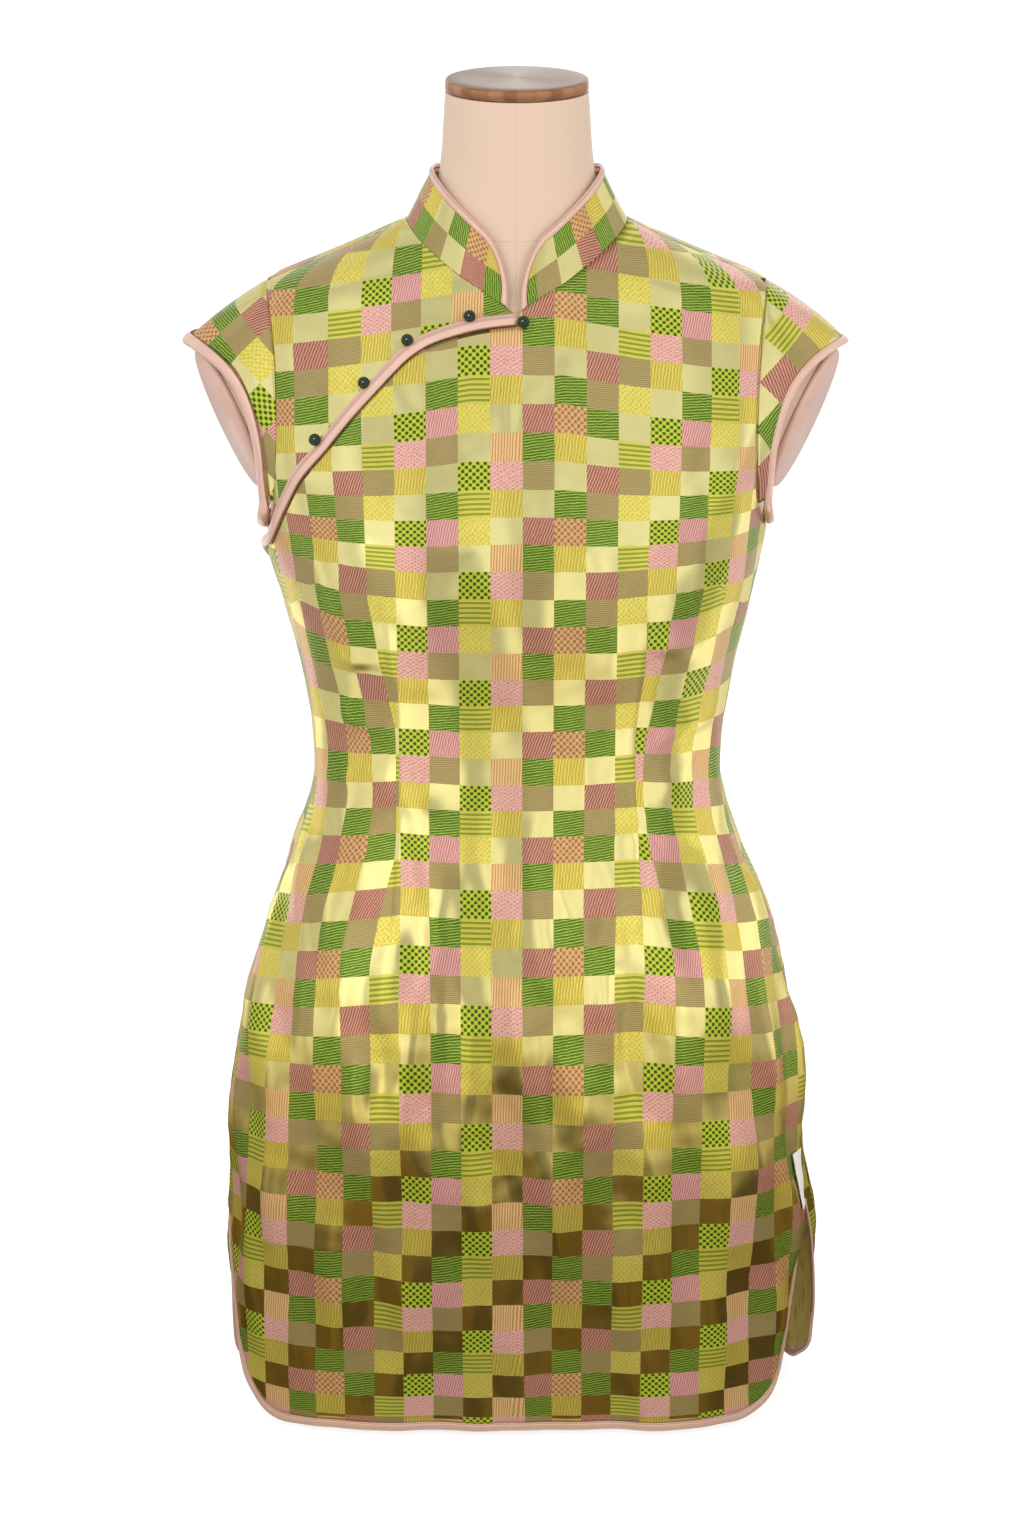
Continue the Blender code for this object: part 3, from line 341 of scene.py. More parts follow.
def edge_arc(side, sign, height):
    """Arc from the centre line to the panel's side edge: slit, side seam, armhole, shoulder."""
    height = np.asarray(height, float)
    across = curve(ARMHOLE, "half_width", height)
    armhole = PATTERNS[side, sign].arc(angle_across(side, across, height, sign), height)
    inside_armhole = (height > UNDERARM) & (height < SHOULDER_POINT[2])
    return np.where(inside_armhole, armhole, seam_arc(side, sign, height))


def neck_outline(side, sign):
    """Arc and height of the neck seam, from the centre line to the neck point."""
    across = NECK_RADIUS * np.sin(np.radians(np.linspace(0.0, 90.0, 31)))
    height = curve(FRONT_NECK if side == FRONT else BACK_NECK, "height", across)
    angle = angle_across(side, across, height, sign)
    angle[-1] = 90.0
    return PATTERNS[side, sign].arc(angle, height), height


def placket_outline(inset=0.0):
    """Arc and height of the opening edge, from the centre front to the wearer's right side."""
    across = np.linspace(0.0, PLACKET["across"][-1], 60)
    height = curve(PLACKET, "height", across)
    arc = PATTERNS[FRONT, RIGHT].arc(angle_across(FRONT, across, height, RIGHT), height)
    arc = np.append(arc, edge_arc(FRONT, RIGHT, PLACKET_SIDE_HEIGHT))
    height = np.append(height, PLACKET_SIDE_HEIGHT)
    run = running(np.hypot(np.diff(arc), np.diff(height)))
    even = np.linspace(0.0, run[-1], 81)
    arc, height = np.interp(even, run, arc), np.interp(even, run, height)
    ahead, up = np.gradient(arc), np.gradient(height)
    length = np.hypot(ahead, up)
    return arc + inset * up / length, height - inset * ahead / length


def placket_lift(arc, height):
    """The front laps over the yoke, so it rises towards the opening edge."""
    edge_arcs, edge_heights = placket_outline()
    away = np.hypot(arc[..., None] - edge_arcs, height[..., None] - edge_heights).min(axis=-1)
    t = np.clip(1.0 - away / PLACKET_LIFT_REACH, 0.0, 1.0)
    return PLACKET_LIFT * t * t * (3 - 2 * t)


def hem_corner(side, sign, slit_inset, hem_inset, count):
    """Arc and height of the rounded corner from hem to slit, and the side edge's arc there."""
    turn = np.radians(np.linspace(0.0, 90.0, count))
    height = HEM_HEIGHT + HEM_CORNER_RISE - (HEM_CORNER_RISE - hem_inset) * np.cos(turn)
    edge = edge_arc(side, sign, height)
    return edge - HEM_CORNER_ARC + (HEM_CORNER_ARC - slit_inset) * np.sin(turn), height, edge


# ---- where the weave lies
# The cloth's checks across one repeat, and one line for each of its rows, down the cloth.
CHART = (
    "gold cream checker rose taupe cream mauve taupe",
    "cream green stripe gold cream green taupe yellow",
    "checker pink yellow cream mauve coral green cream",
    "rose taupe cream peach green gold cream stripe",
)
# Row lines down the centre front, and the check's width, by height.
ROW_LINES = table("height row", """
    -40 43.9; 28 39; 76.4 36; 147.9 32; 221.2 28; 301 24; 374.3 20; 443 16; 517.5 12; 594.9 8
    664.4 4; 734 0; 770 -2.2; 830 -6
""")
CHECK_WIDTH = table("height width", "0 19.6; 200 19.9; 400 20.3; 600 20.6; 700 20.8; 800 20.8")
FRONT_START = (4.0, 3.4)
BACK_START = (4.5, 1.35)
# How far each row line falls for each millimetre away from the centre, outside two lines.
CHEST_FALL_START = 30.0
SIDE_FALL_START = 78.0
ROW_FALL = table("height chest side", """
    0 0 0; 60 0 0.01; 130 0 0.02; 200 0 0.07; 280 0 0.16; 360 0 0.21; 440 0 0.14; 500 0 0.05
    560 0 0; 600 0 0; 640 0.08 0; 680 0.15 0; 730 0.17 0; 800 0.17 0
""")
# The waist darts: their distance from the centre, and the cloth that each takes in.
WAIST_DARTS = table("height right left taken", """
    0 83.7 84.4 0; 318 83.7 84.4 0; 350 83.7 82.3 5; 378 83.4 81.6 12; 406 81 80.1 19
    440 80.8 78.7 21.5; 466 80.7 78.8 20; 494 81.8 81.1 14.5; 524 86.7 85.2 8.5; 555 89.5 86.7 3.5
    577 91.3 87.1 0; 600 91.3 87.1 0
""")
DART_ENDS = (318.0, 577.0)
BACK_DART_SHARE = 0.8
BACK_FALL_SHARE = 0.6
BUST_DART = ((185.0, 545.2), (145.7, 573.7), (133.6, 585.4), (116.2, 603.8))
BUST_DART_TAKEN = 10.0
YOKE_COLUMNS = table("arc column", """
    0 5; 21.5 4; 42 3; 62.1 2; 81.6 1; 101.5 0; 124.1 -1; 149.7 -2; 174 -3.1; 200 -4.3
""")
# The check's size on the collar and the sleeves, and where the weave starts on each.
COLLAR_CHECK = (19.6, 18.6)
COLLAR_START = (2.5, 3.1)
SLEEVE_CHECK = (24.0, 18.6)
SLEEVE_START = {RIGHT: (5.3, 3.73), LEFT: (8.95, 2.12)}


def dart_arc(height, sign):
    right, left = (curve(WAIST_DARTS, name, height) for name in ("right", "left"))
    return np.where(np.asarray(sign) < 0, right, left)


def dart_taken(height):
    return curve(WAIST_DARTS, "taken", height)


def bust_dart(arc, height):
    """Signed distance above the bust dart's line, and how much of its intake is left there."""
    arcs, heights = np.array(BUST_DART).T
    line = np.interp(np.abs(arc), arcs[::-1], heights[::-1])
    share = np.clip((np.abs(arc) - arcs[-1]) / (arcs[0] - arcs[-1]), 0.0, 1.2)
    return height - line, share


def laid(arc, height, dart_share, chest_share):
    """The arc with the darts' cloth put back, the check's width, and how far the row falls."""
    sign = np.where(arc < 0, -1.0, 1.0)
    away = np.abs(arc)
    taken = dart_share * dart_taken(height) * (away > dart_arc(height, sign))
    chest = chest_share * straight(ROW_FALL, "chest", height) * np.maximum(away - CHEST_FALL_START, 0)
    sides = straight(ROW_FALL, "side", height) * np.maximum(away - SIDE_FALL_START, 0)
    return arc + sign * taken, curve(CHECK_WIDTH, "width", height), chest + sides


def front_weave(arc, height):
    """Column and row of the weave at points of the front's flat pattern."""
    opened, width, fall = laid(arc, height, 1.0, 1.0)
    above, share = bust_dart(arc, height)
    tuck = BUST_DART_TAKEN * share * np.clip(0.5 - above / 2.4, 0.0, 1.0) * (height > 380)
    fade = np.clip((height - 440.0) / 100.0, 0.0, 1.0)
    column = FRONT_START[0] + (opened - FRONT_START[1]) / width
    return column, straight(ROW_LINES, "row", height + fall - tuck * fade)


def back_weave(arc, height):
    """The back's weave: its columns run the same way for someone behind the dress."""
    opened, width, fall = laid(arc, height, BACK_DART_SHARE, BACK_FALL_SHARE)
    row = straight(ROW_LINES, "row", height + fall) + BACK_START[1]
    return BACK_START[0] - opened / width, row


def yoke_weave(arc, height):
    """The underlap's weave: its rows lie a little closer above the line they start from."""
    away = np.abs(arc)
    line = 748.0 + 0.165 * (145.0 - np.minimum(away, 175.0))
    row = 3.0 + (line - height) / np.where(height < line, 16.8, 15.4)
    return straight(YOKE_COLUMNS, "column", away), row


# ---- soft folds of the worn cloth
# Drag lines and hollows: where each lies on the flat front, which way it runs, how long and
# wide it is, and how far it comes out.
FRONT_PULLS = table("arc height degrees long wide out", """
    -110 526 4 20 6 2.3; -112 482 -10 22 7 2.6; -120 440 8 24 7 2.5; -108 405 14 26 7 2.3
    -68 427 -12 18 7 2.6; -66 357 8 20 8 2.7; 106 537 -10 18 6.5 2.4; 118 474 12 24 7 2.6
    110 436 -8 22 7 2.4; 106 398 -14 26 7 2.3; 70 415 10 18 7 2.6; 64 352 -8 22 8 2.5
    -60 300 80 60 8 3.2; -84 262 78 60 8 -1.6; -106 250 76 70 9 3; -135 240 72 80 9 2.2
    -30 250 86 60 9 1.6; 60 290 -82 60 8 2; 84 250 -78 70 8 -1.6; 104 256 -76 70 9 3
    134 250 -72 80 9 2; 30 236 -86 60 9 1.6; 4 345 86 46 8 1.4; -22 120 88 70 10 1.8
    30 110 -86 70 10 1.8; -70 96 82 60 9 1.8; 76 104 -84 60 9 1.8; -118 110 84 70 10 2.2
    122 96 -84 70 10 2.2; -4 700 88 26 3 1; 140 640 60 40 6 1.7; 124 664 52 40 6 -0.8
    -60 690 -40 40 7 1.2
""")
# Slow waves of the cloth and small dimples of thin satin: how closely each comes round across
# and up, and its share.
RIPPLES = ((0.055, 0.017, 0.45), (0.096, -0.026, 0.35), (0.036, 0.060, 0.25), (0.17, 0.030, 0.20))
PUCKERS = ((0.21, 0.13, 0.25), (-0.15, 0.24, 0.25), (0.29, -0.09, 0.25), (0.07, 0.33, 0.25))

FOLD_SEED = {FRONT: 1.3, BACK: 2.9}
# Folds die away within this distance of a side edge, and over these heights at the shoulders.
FOLD_FADE = 16.0
FOLD_TOP = (728.0, 748.0)
# How far in the cloth may sink, by height, before the form lies right under it.
FORM_ROOM = ((140.0, 225.0), (-5.0, -0.9))


def waves(arc, height, rows, turns, wander):
    """An uneven wave of the cloth, between about -1 and 1."""
    total = 0.0
    for (across, up, share), turn in zip(rows, turns):
        total = total + share * np.sin(across * arc + up * height + turn + wander(turn))
    return total


def folds(side, arc, height):
    """How far the worn cloth stands from its smooth body, dying away at the seams."""
    sign = np.where(arc < 0, -1.0, 1.0)
    edge = np.where(sign < 0, seam_arc(side, RIGHT, height), seam_arc(side, LEFT, height))
    edge = np.where(height > 735.0, edge + 30.0, edge)
    from_side = np.clip((edge - np.abs(arc)) / FOLD_FADE, 0.0, 1.0) ** 2
    low = np.clip((500.0 - height) / 200.0, 0.22, 1.0) * np.clip(0.35 + height / 140.0, 0.35, 1.0)
    wave = waves(arc, height, RIPPLES, [FOLD_SEED[side] * (number + 1.7) for number in range(4)],
                 lambda turn: 0.8 * np.sin(0.023 * height + 0.05 * arc + turn))
    pucker = waves(arc, height, PUCKERS, [0.7 * (2.3 * number + 1.1) for number in range(4)],
                   lambda turn: 1.6 * np.sin(0.06 * height - 0.045 * arc + turn))
    amount = bpy.context.scene.cheongsam_cloth.fold_depth * from_side * low * (wave + 0.35)
    amount = amount + PUCKER_DEPTH * from_side * (0.4 + low) * pucker
    if side == FRONT:
        amount = amount + swells(arc, height, FRONT_PULLS) * np.clip(from_side * 1.6, 0.0, 1.0)
    amount = np.maximum(amount, np.interp(height, *FORM_ROOM))
    seam = np.abs(np.abs(arc) - dart_arc(height, sign))
    amount = amount + seam_crease(seam, np.clip(dart_taken(height) / 6.0, 0, 1), 1.3)
    if side == FRONT:
        above, share = bust_dart(arc, height)
        amount = amount + seam_crease(above, np.clip(share * 6.0, 0.0, 1.0), 1.4)
    return amount * np.interp(height, FOLD_TOP, (1.0, 0.0))


def seam_crease(away, opened, reach):
    """A dart's seam lies in a narrow crease between two soft swells."""
    return opened * (0.5 * np.exp(-(away / 5.0) ** 2) - 0.9 * np.exp(-(away / reach) ** 2))


def drape(side, arc, height, lift=0.0):
    """A point of the flat pattern on the worn and folded cloth."""
    return place(side, arc, height, lift + folds(side, np.asarray(arc), np.asarray(height)))


# ---- panels
def panel_rows(top, low):
    """Row heights of a column up to its upper edge, squeezed up over a rounded hem corner."""
    even, close = PANEL_ROWS
    rows = np.concatenate([
        np.linspace(HEM_HEIGHT, CLOSE_ROWS_START, even),
        CLOSE_ROWS_START + (top - CLOSE_ROWS_START) * np.linspace(0.0, 1.0, close)[1:]])
    stretch = np.clip((SLIT_FOOT - rows) / (SLIT_FOOT - HEM_HEIGHT), 0.0, 1.0)
    return rows + stretch * (low - HEM_HEIGHT)


def edge_at(side, sign, height):
    """The edge that a panel's columns spread to: the opened side of the front has no armhole."""
    return (seam_arc if side == FRONT and sign == RIGHT else edge_arc)(side, sign, height)


def upper_edge(side, sign, outline, inset=0.0):
    """An upper edge as heights at rising shares of the way to the side edge."""
    arc, height = outline
    share = np.clip(arc / edge_at(side, sign, height), 0.0, 1.0)
    order = np.argsort(share)
    return share[order], height[order] - inset


def half_panel(side, sign, upper, counts):
    """Arcs and heights of half a panel: columns from the side edge to the centre line."""
    slit_inset = SLIT_BINDING + SEAM
    outer, inner = (np.linspace(1.0, 0.0, count) for count in counts)
    mark = np.concatenate([1.0 + outer, inner])

    def shares(height):
        """Columns keep to their side of the waist dart."""
        at = np.clip(height, *DART_ENDS)
        dart = dart_arc(at, sign) / edge_at(side, sign, at)
        beyond = dart + DART_STEP + (mark - 1.0) * (1.0 - dart - DART_STEP)
        return np.where(np.arange(len(mark)) < counts[0], beyond, mark * (dart - DART_STEP))

    top = np.interp(shares(np.full(len(mark), UNDERARM)), *upper)
    corner_arc, corner_height, edge = hem_corner(side, sign, slit_inset, HEM_BINDING + SEAM, 25)
    low = np.interp(shares(np.zeros(len(mark))), corner_arc / (edge - slit_inset), corner_height)
    height = np.stack([panel_rows(high, foot) for high, foot in zip(top, low)], axis=1)
    t = np.clip((height - SLIT_FOOT) / (2 * (SLIT_TOP - SLIT_FOOT)), 0.0, 1.0)
    side_inset = slit_inset + t * (SEAM / 2 - slit_inset)
    return sign * shares(height) * (edge_at(side, sign, height) - side_inset), height


def panel_grid(side, right_edge, left_edge, counts):
    halves = (half_panel(side, RIGHT, right_edge, counts), half_panel(side, LEFT, left_edge, counts))
    return tuple(np.concatenate([a, b[:, -2::-1]], axis=1) for a, b in zip(*halves))


def front_cloth():
    placket = upper_edge(FRONT, RIGHT, placket_outline(PLACKET_BINDING + SEAM))
    neck = upper_edge(FRONT, LEFT, neck_outline(FRONT, LEFT), SEAM)
    arc, height = panel_grid(FRONT, placket, neck, FRONT_COLUMNS)
    return drape(FRONT, arc, height, placket_lift(-arc, height)), front_weave(arc, height)


def back_cloth():
    edges = [upper_edge(BACK, sign, neck_outline(BACK, sign), SEAM) for sign in (RIGHT, LEFT)]
    arc, height = (grid[:, ::-1] for grid in panel_grid(BACK, *edges, BACK_COLUMNS))
    return drape(BACK, arc, height), back_weave(arc, height)


def yoke_cloth():
    """The underlap: level rows from the armhole in to the hidden edge under the opening."""
    low_arc, low_height = placket_outline(YOKE_UNDERLAP)
    neck_arc, neck_height = neck_outline(FRONT, RIGHT)
    neck_height = neck_height - SEAM
    rows, columns = YOKE_GRID
    height = np.linspace(low_height[-1], neck_height[-1], rows)
    inner = np.interp(height, np.concatenate([low_height[::-1], neck_height]),
                      np.concatenate([np.maximum(low_arc, 0.0)[::-1], neck_arc]))
    edge = edge_arc(FRONT, RIGHT, height) - SEAM / 2
    share = np.linspace(0.0, 1.0, columns)
    arc = edge[:, None] - share * np.maximum(edge - inner, 5.0)[:, None]
    height = np.repeat(height[:, None], columns, axis=1)
    opening_arc, opening_height = placket_outline()
    opening = np.interp(height, opening_height[::-1], opening_arc[::-1])
    hidden = np.clip((opening - arc) / 8.0, 0.0, 1.0)
    return drape(FRONT, -arc, height, -YOKE_HIDDEN_DROP * hidden), yoke_weave(arc, height)


# ---- collar
def neck_seam():
    """The neck seam in space, from the wearer's left of the centre front round to the right."""
    points = []
    for side, sign, order in ((FRONT, LEFT, 1), (BACK, LEFT, -1), (BACK, RIGHT, 1), (FRONT, RIGHT, -1)):
        arc, height = neck_outline(side, sign)
        points.append(place(side, sign * arc, height)[::order][:-1])
    return np.concatenate(points)


NECK = neck_seam()
NECK_RUN = running(np.linalg.norm(np.diff(NECK, axis=0), axis=1))
COLLAR_LENGTH = NECK_RUN[-1]
UP = np.array([0.0, 0.0, 1.0])


def collar_point(along, up, lift=0.0):
    """A point of the collar: distance along the neck seam, height on the band, and lift."""
    along, up, lift = spread(along, up, lift)
    base = np.stack([np.interp(along, NECK_RUN, NECK[:, k]) for k in range(3)], axis=-1)
    share = 1.0 - np.abs(2.0 * along / COLLAR_LENGTH - 1.0)
    lean = np.radians(curve(COLLAR_LEAN, "degrees", share))[..., None]
    inward = unit(-base * (1.0, 1.0, 0.0))
    line = np.sin(lean) * inward + np.cos(lean) * UP
    normal = np.sin(lean) * UP - np.cos(lean) * inward
    return base + up[..., None] * line + lift[..., None] * normal


def collar_cloth():
    inset = COLLAR_BINDING + SEAM
    top = COLLAR_HEIGHT - inset
    rows, columns = COLLAR_GRID
    up = top - (top + SEAM_TUCK) * np.linspace(1.0, 0.0, rows) ** 1.5
    start = COLLAR_HEIGHT - COLLAR_CORNER_RISE
    t = np.clip((up - start) / (COLLAR_CORNER_RISE - inset), 0.0, 1.0)
    corner = COLLAR_CORNER_ARC - (COLLAR_CORNER_ARC - inset) * np.sqrt(1.0 - t * t)
    end = COLLAR_OPENING / 2 + corner
    share = np.linspace(0.0, 1.0, columns)
    along = end[:, None] + (COLLAR_LENGTH - 2 * end)[:, None] * share
    up = np.repeat(up[:, None], columns, axis=1)
    wave = 0.35 * np.sin(along / 13.0 + 1.0) * np.sin(up / 11.0) + 0.25 * np.sin(along / 31.0)
    column = 4.0 + (up + COLLAR_START[0]) / COLLAR_CHECK[0]
    row = COLLAR_START[1] + along / COLLAR_CHECK[1]
    return collar_point(along, up, wave * np.clip(up / 8.0, 0, 1)), (column, row)


def collar_edge(inset):
    """Distance along and height of the free edge, set in by an amount, end to end."""
    turn = np.radians(np.linspace(0.0, 90.0, 26))
    corner_up = COLLAR_HEIGHT - COLLAR_CORNER_RISE + (COLLAR_CORNER_RISE - inset) * np.sin(turn)
    corner_along = COLLAR_CORNER_ARC - (COLLAR_CORNER_ARC - inset) * np.cos(turn)
    up = np.concatenate([np.linspace(SEAM, corner_up[0], 6)[:-1], corner_up])
    along = COLLAR_OPENING / 2 + np.concatenate([np.full(5, inset), corner_along])
    middle = np.linspace(along[-1], COLLAR_LENGTH - along[-1], 130)[1:-1]
    all_along = np.concatenate([along, middle, COLLAR_LENGTH - along[::-1]])
    return all_along, np.concatenate([up, np.full(len(middle), up[-1]), up[::-1]])


# ---- sleeves
def armhole_point(side, sign, height):
    """The worn end of the armhole seam at a height."""
    height = np.asarray(height, float)
    return place(side, sign * edge_arc(side, sign, height), height)


def sleeve_lines(sign, count):
    """Seam points, hem points and outward ways, from the front's lower end over the shoulder."""
    rows = {name: np.concatenate([values, values[-2::-1]]) for name, values in SLEEVE.items()}
    half = len(SLEEVE["hem_y"])
    rows["hem_y"][:half] *= -1.0
    rows = {"step": np.arange(2.0 * half - 1), **rows}
    at = np.linspace(0.0, rows["step"][-1], count)
    height, x, y, z = (curve(rows, name, at) for name in SLEEVE)
    height = np.minimum(height, SHOULDER_POINT[2])
    seam = np.where((at <= half - 1)[:, None], armhole_point(FRONT, sign, height),
                    armhole_point(BACK, sign, height))
    share = at / rows["step"][-1]
    turn = np.radians(180.0 * at / rows["step"][-1] - 90.0)
    out = np.stack([np.full(count, 0.45 * sign), 0.75 * np.sin(turn), np.full(count, 0.55)], axis=-1)
    return seam, np.stack([sign * x, y, z], axis=-1), out, share


def down_sleeve(seam, hem, out, distance):
    """Points a distance down from the seam on the lines to the hem, swelling a little."""
    line = hem - seam
    length = np.linalg.norm(line, axis=-1)
    t = distance / length
    swell = SLEEVE_SWELL * 4 * t * (1 - t) * np.clip(length / 50.0, 0.0, 1.0)
    return seam + t[:, None] * line + swell[:, None] * out


def sleeve_cloth_length(seam, hem):
    return np.maximum(np.linalg.norm(hem - seam, axis=-1) - SLEEVE_BINDING - SEAM, 2.0)


def sleeve_cloth(sign):
    """A cap sleeve's rows, its first one tucked under the panels, and its weave."""
    row_count, column_count = SLEEVE_GRID
    seam, hem, out, at = sleeve_lines(sign, column_count)
    full = sleeve_cloth_length(seam, hem)
    rows = []
    for t in np.linspace(0.0, 1.0, row_count):
        wave = 0.7 * t * np.sin(at * 46.0 + 1.2 * sign) + 0.5 * np.sin(at * 21.0 + 4.0 * t)
        tucked = SEAM_TUCK if t == 0.0 else 0.0
        distance = SEAM / 2 + t * (full - SEAM / 2) - tucked
        lift = wave * np.sin(math.pi * at) - 0.8 * tucked
        rows.append(down_sleeve(seam, hem, out, distance) + lift[:, None] * out)
    points = np.array(rows)
    from_shoulder = points - np.array([sign, 1, 1]) * SHOULDER_POINT
    x, y, z = np.moveaxis(from_shoulder, -1, 0)
    round_sleeve = -sign * 0.50 * x + 0.68 * np.abs(y) - 0.53 * z
    forward = np.where(at[None, :] < 0.5, -1.0, 1.0)
    column = SLEEVE_START[sign][0] + sign * forward * round_sleeve / SLEEVE_CHECK[0]
    row = SLEEVE_START[sign][1] + (sign * 0.70 * x - 0.71 * z) / SLEEVE_CHECK[1]
    return points, (column, row)


def underarm_strip(side, sign, heights, start):
    """The binding's two edges where it goes on round the armhole, under the arm."""
    edges = []
    for height in heights:
        t = (height - UNDERARM) / (SLEEVE["seam_height"][0] - UNDERARM)
        way = unit(t * start + (1 - t) * np.array(UNDERARM_FLANGE) * (sign, 1, 1))
        inner = armhole_point(side, sign, height) + (SEAM + 2.2 * t) * way
        edges.append((inner, inner + SLEEVE_BINDING * way))
    return np.array(edges).swapaxes(0, 1)


def round_loop(points, count):
    """A smooth closed line through points."""
    steps = np.arange(count) * len(points) / count
    cell = steps.astype(int)
    t = (steps - cell)[:, None]
    before, start, end, after = (points[(cell + k) % len(points)] for k in (-1, 0, 1, 2))
    return 0.5 * (2 * start + (end - before) * t + (2 * before - 5 * start + 4 * end - after) * t ** 2
                  + (3 * start - before - 3 * end + after) * t ** 3)


def sleeve_binding_edges(sign):
    """A closed strip: along the sleeve's hem, and round the armhole under the arm."""
    seam, hem, out, at = sleeve_lines(sign, 33)
    start = sleeve_cloth_length(seam, hem)
    edges = np.array([down_sleeve(seam, hem, out, start + reach) for reach in (0.0, SLEEVE_BINDING)])
    way = unit(edges[1, -1] - edges[0, -1])
    back = underarm_strip(BACK, sign, UNDERARM_HEIGHTS, way)
    front = underarm_strip(FRONT, sign, UNDERARM_HEIGHTS[-2::-1], way * (1, -1, 1))
    return (round_loop(edge, 200) for edge in np.concatenate([edges, back, front], axis=1))


# ---- bindings
ACROSS = np.array([0.0, 0.04, 0.12, 0.24, 0.38, 0.52, 0.66, 0.76, 0.82, 0.86, 0.90, 0.95, 1.0])
STITCH_LINE = 0.86


def crown(across, rise):
    """The rolled section of a binding: round at its free edge, sewn down at the other."""
    bow = np.sqrt(np.clip(1.0 - (2.0 * np.minimum(across, 0.94) / 0.94 - 1.0) ** 2, 0, 1))
    return rise * bow - 0.5 * np.exp(-((across - STITCH_LINE) / 0.05) ** 2)


def strip(line, order=ACROSS):
    """A binding's rows, from its line at each share of the way across."""
    return np.array([line(across) for across in order])


def hem_outline(side, sign, across):
    """Arc and height of half of the free lower edge, from the centre line to the slit top."""
    slit_inset, hem_inset = across * SLIT_BINDING, across * HEM_BINDING
    corner_arc, corner_height, _ = hem_corner(side, sign, slit_inset, hem_inset, 30)
    hem_arc = np.linspace(0.0, corner_arc[0], 60)[:-1]
    slit_height = np.linspace(HEM_HEIGHT + HEM_CORNER_RISE, SLIT_FOOT - SEAM, 32)[1:]
    slit_arc = edge_arc(side, sign, slit_height) - slit_inset
    height = np.concatenate([np.full(59, HEM_HEIGHT + hem_inset), corner_height, slit_height])
    return sign * np.concatenate([hem_arc, corner_arc, slit_arc]), height


def hem_binding(side):
    """The strip that covers the hem and both slit edges."""
    def line(across):
        halves = zip(hem_outline(side, RIGHT, across), hem_outline(side, LEFT, across))
        arc, height = (np.concatenate([right[:0:-1], left]) for right, left in halves)
        return drape(side, arc, height, BINDING_LIFT + crown(across, BINDING_RISE))
    return strip(line)


def placket_binding():
    """The strip along the front's opening edge."""
    def line(across):
        arc, height = placket_outline(across * PLACKET_BINDING)
        arc = np.clip(arc, -1.0, seam_arc(FRONT, RIGHT, height) - 0.2)
        return drape(FRONT, -arc, height, PLACKET_LIFT + crown(across, NARROW_RISE))
    return strip(line, ACROSS[::-1])


def collar_binding():
    def line(across):
        lift = COLLAR_BINDING_LIFT + crown(across, NARROW_RISE)
        return collar_point(*collar_edge(across * COLLAR_BINDING), lift)
    return strip(line, ACROSS[::-1])


def sleeve_binding(sign):
    inner, outer = sleeve_binding_edges(sign)
    ahead = np.roll(outer, -1, axis=0) - np.roll(outer, 1, axis=0)
    normal = unit(sign * np.cross(outer - inner, ahead))

    def line(across):
        lift = BINDING_LIFT + crown(across, BINDING_RISE)
        return outer + across * (inner - outer) + lift * normal
    return strip(line)


# ---- materials
TURN = 2 * math.pi


def linear(*colour):
    """A colour given in screen values from 0 to 255, as the shader's own."""
    share = np.array(colour, float) / 255.0
    out = np.where(share <= 0.04045, share / 12.92, ((share + 0.055) / 1.055) ** 2.4)
    return tuple(float(value) for value in out)


def shaded(colour, share):
    return tuple(value * share for value in colour)


class Wire:
    """A node's output, on which sums can be written out."""

    def __init__(self, nodes, socket):
        self.nodes = nodes
        self.socket = socket

    def do(self, operation, *values):
        return self.nodes.math(operation, self, *values)

    def split(self):
        node = self.nodes.add("SeparateXYZ", {0: self}).socket.node
        return [Wire(self.nodes, socket) for socket in node.outputs]

    def scaled(self, x, y, z=1.0):
        return self.nodes.add("Mapping", {0: self, "Scale": (x, y, z)})


def sum_method(operation, swapped):
    """A method that does one sum on a wire and another value."""
    def work(wire, other):
        values = (other, wire) if swapped else (wire, other)
        return wire.nodes.math(operation, *values)
    return work


for word, operation in (("add", "ADD"), ("sub", "SUBTRACT"), ("mul", "MULTIPLY"),
                        ("truediv", "DIVIDE"), ("mod", "FLOORED_MODULO"), ("pow", "POWER")):
    setattr(Wire, f"__{word}__", sum_method(operation, False))
    setattr(Wire, f"__r{word}__", sum_method(operation, True))


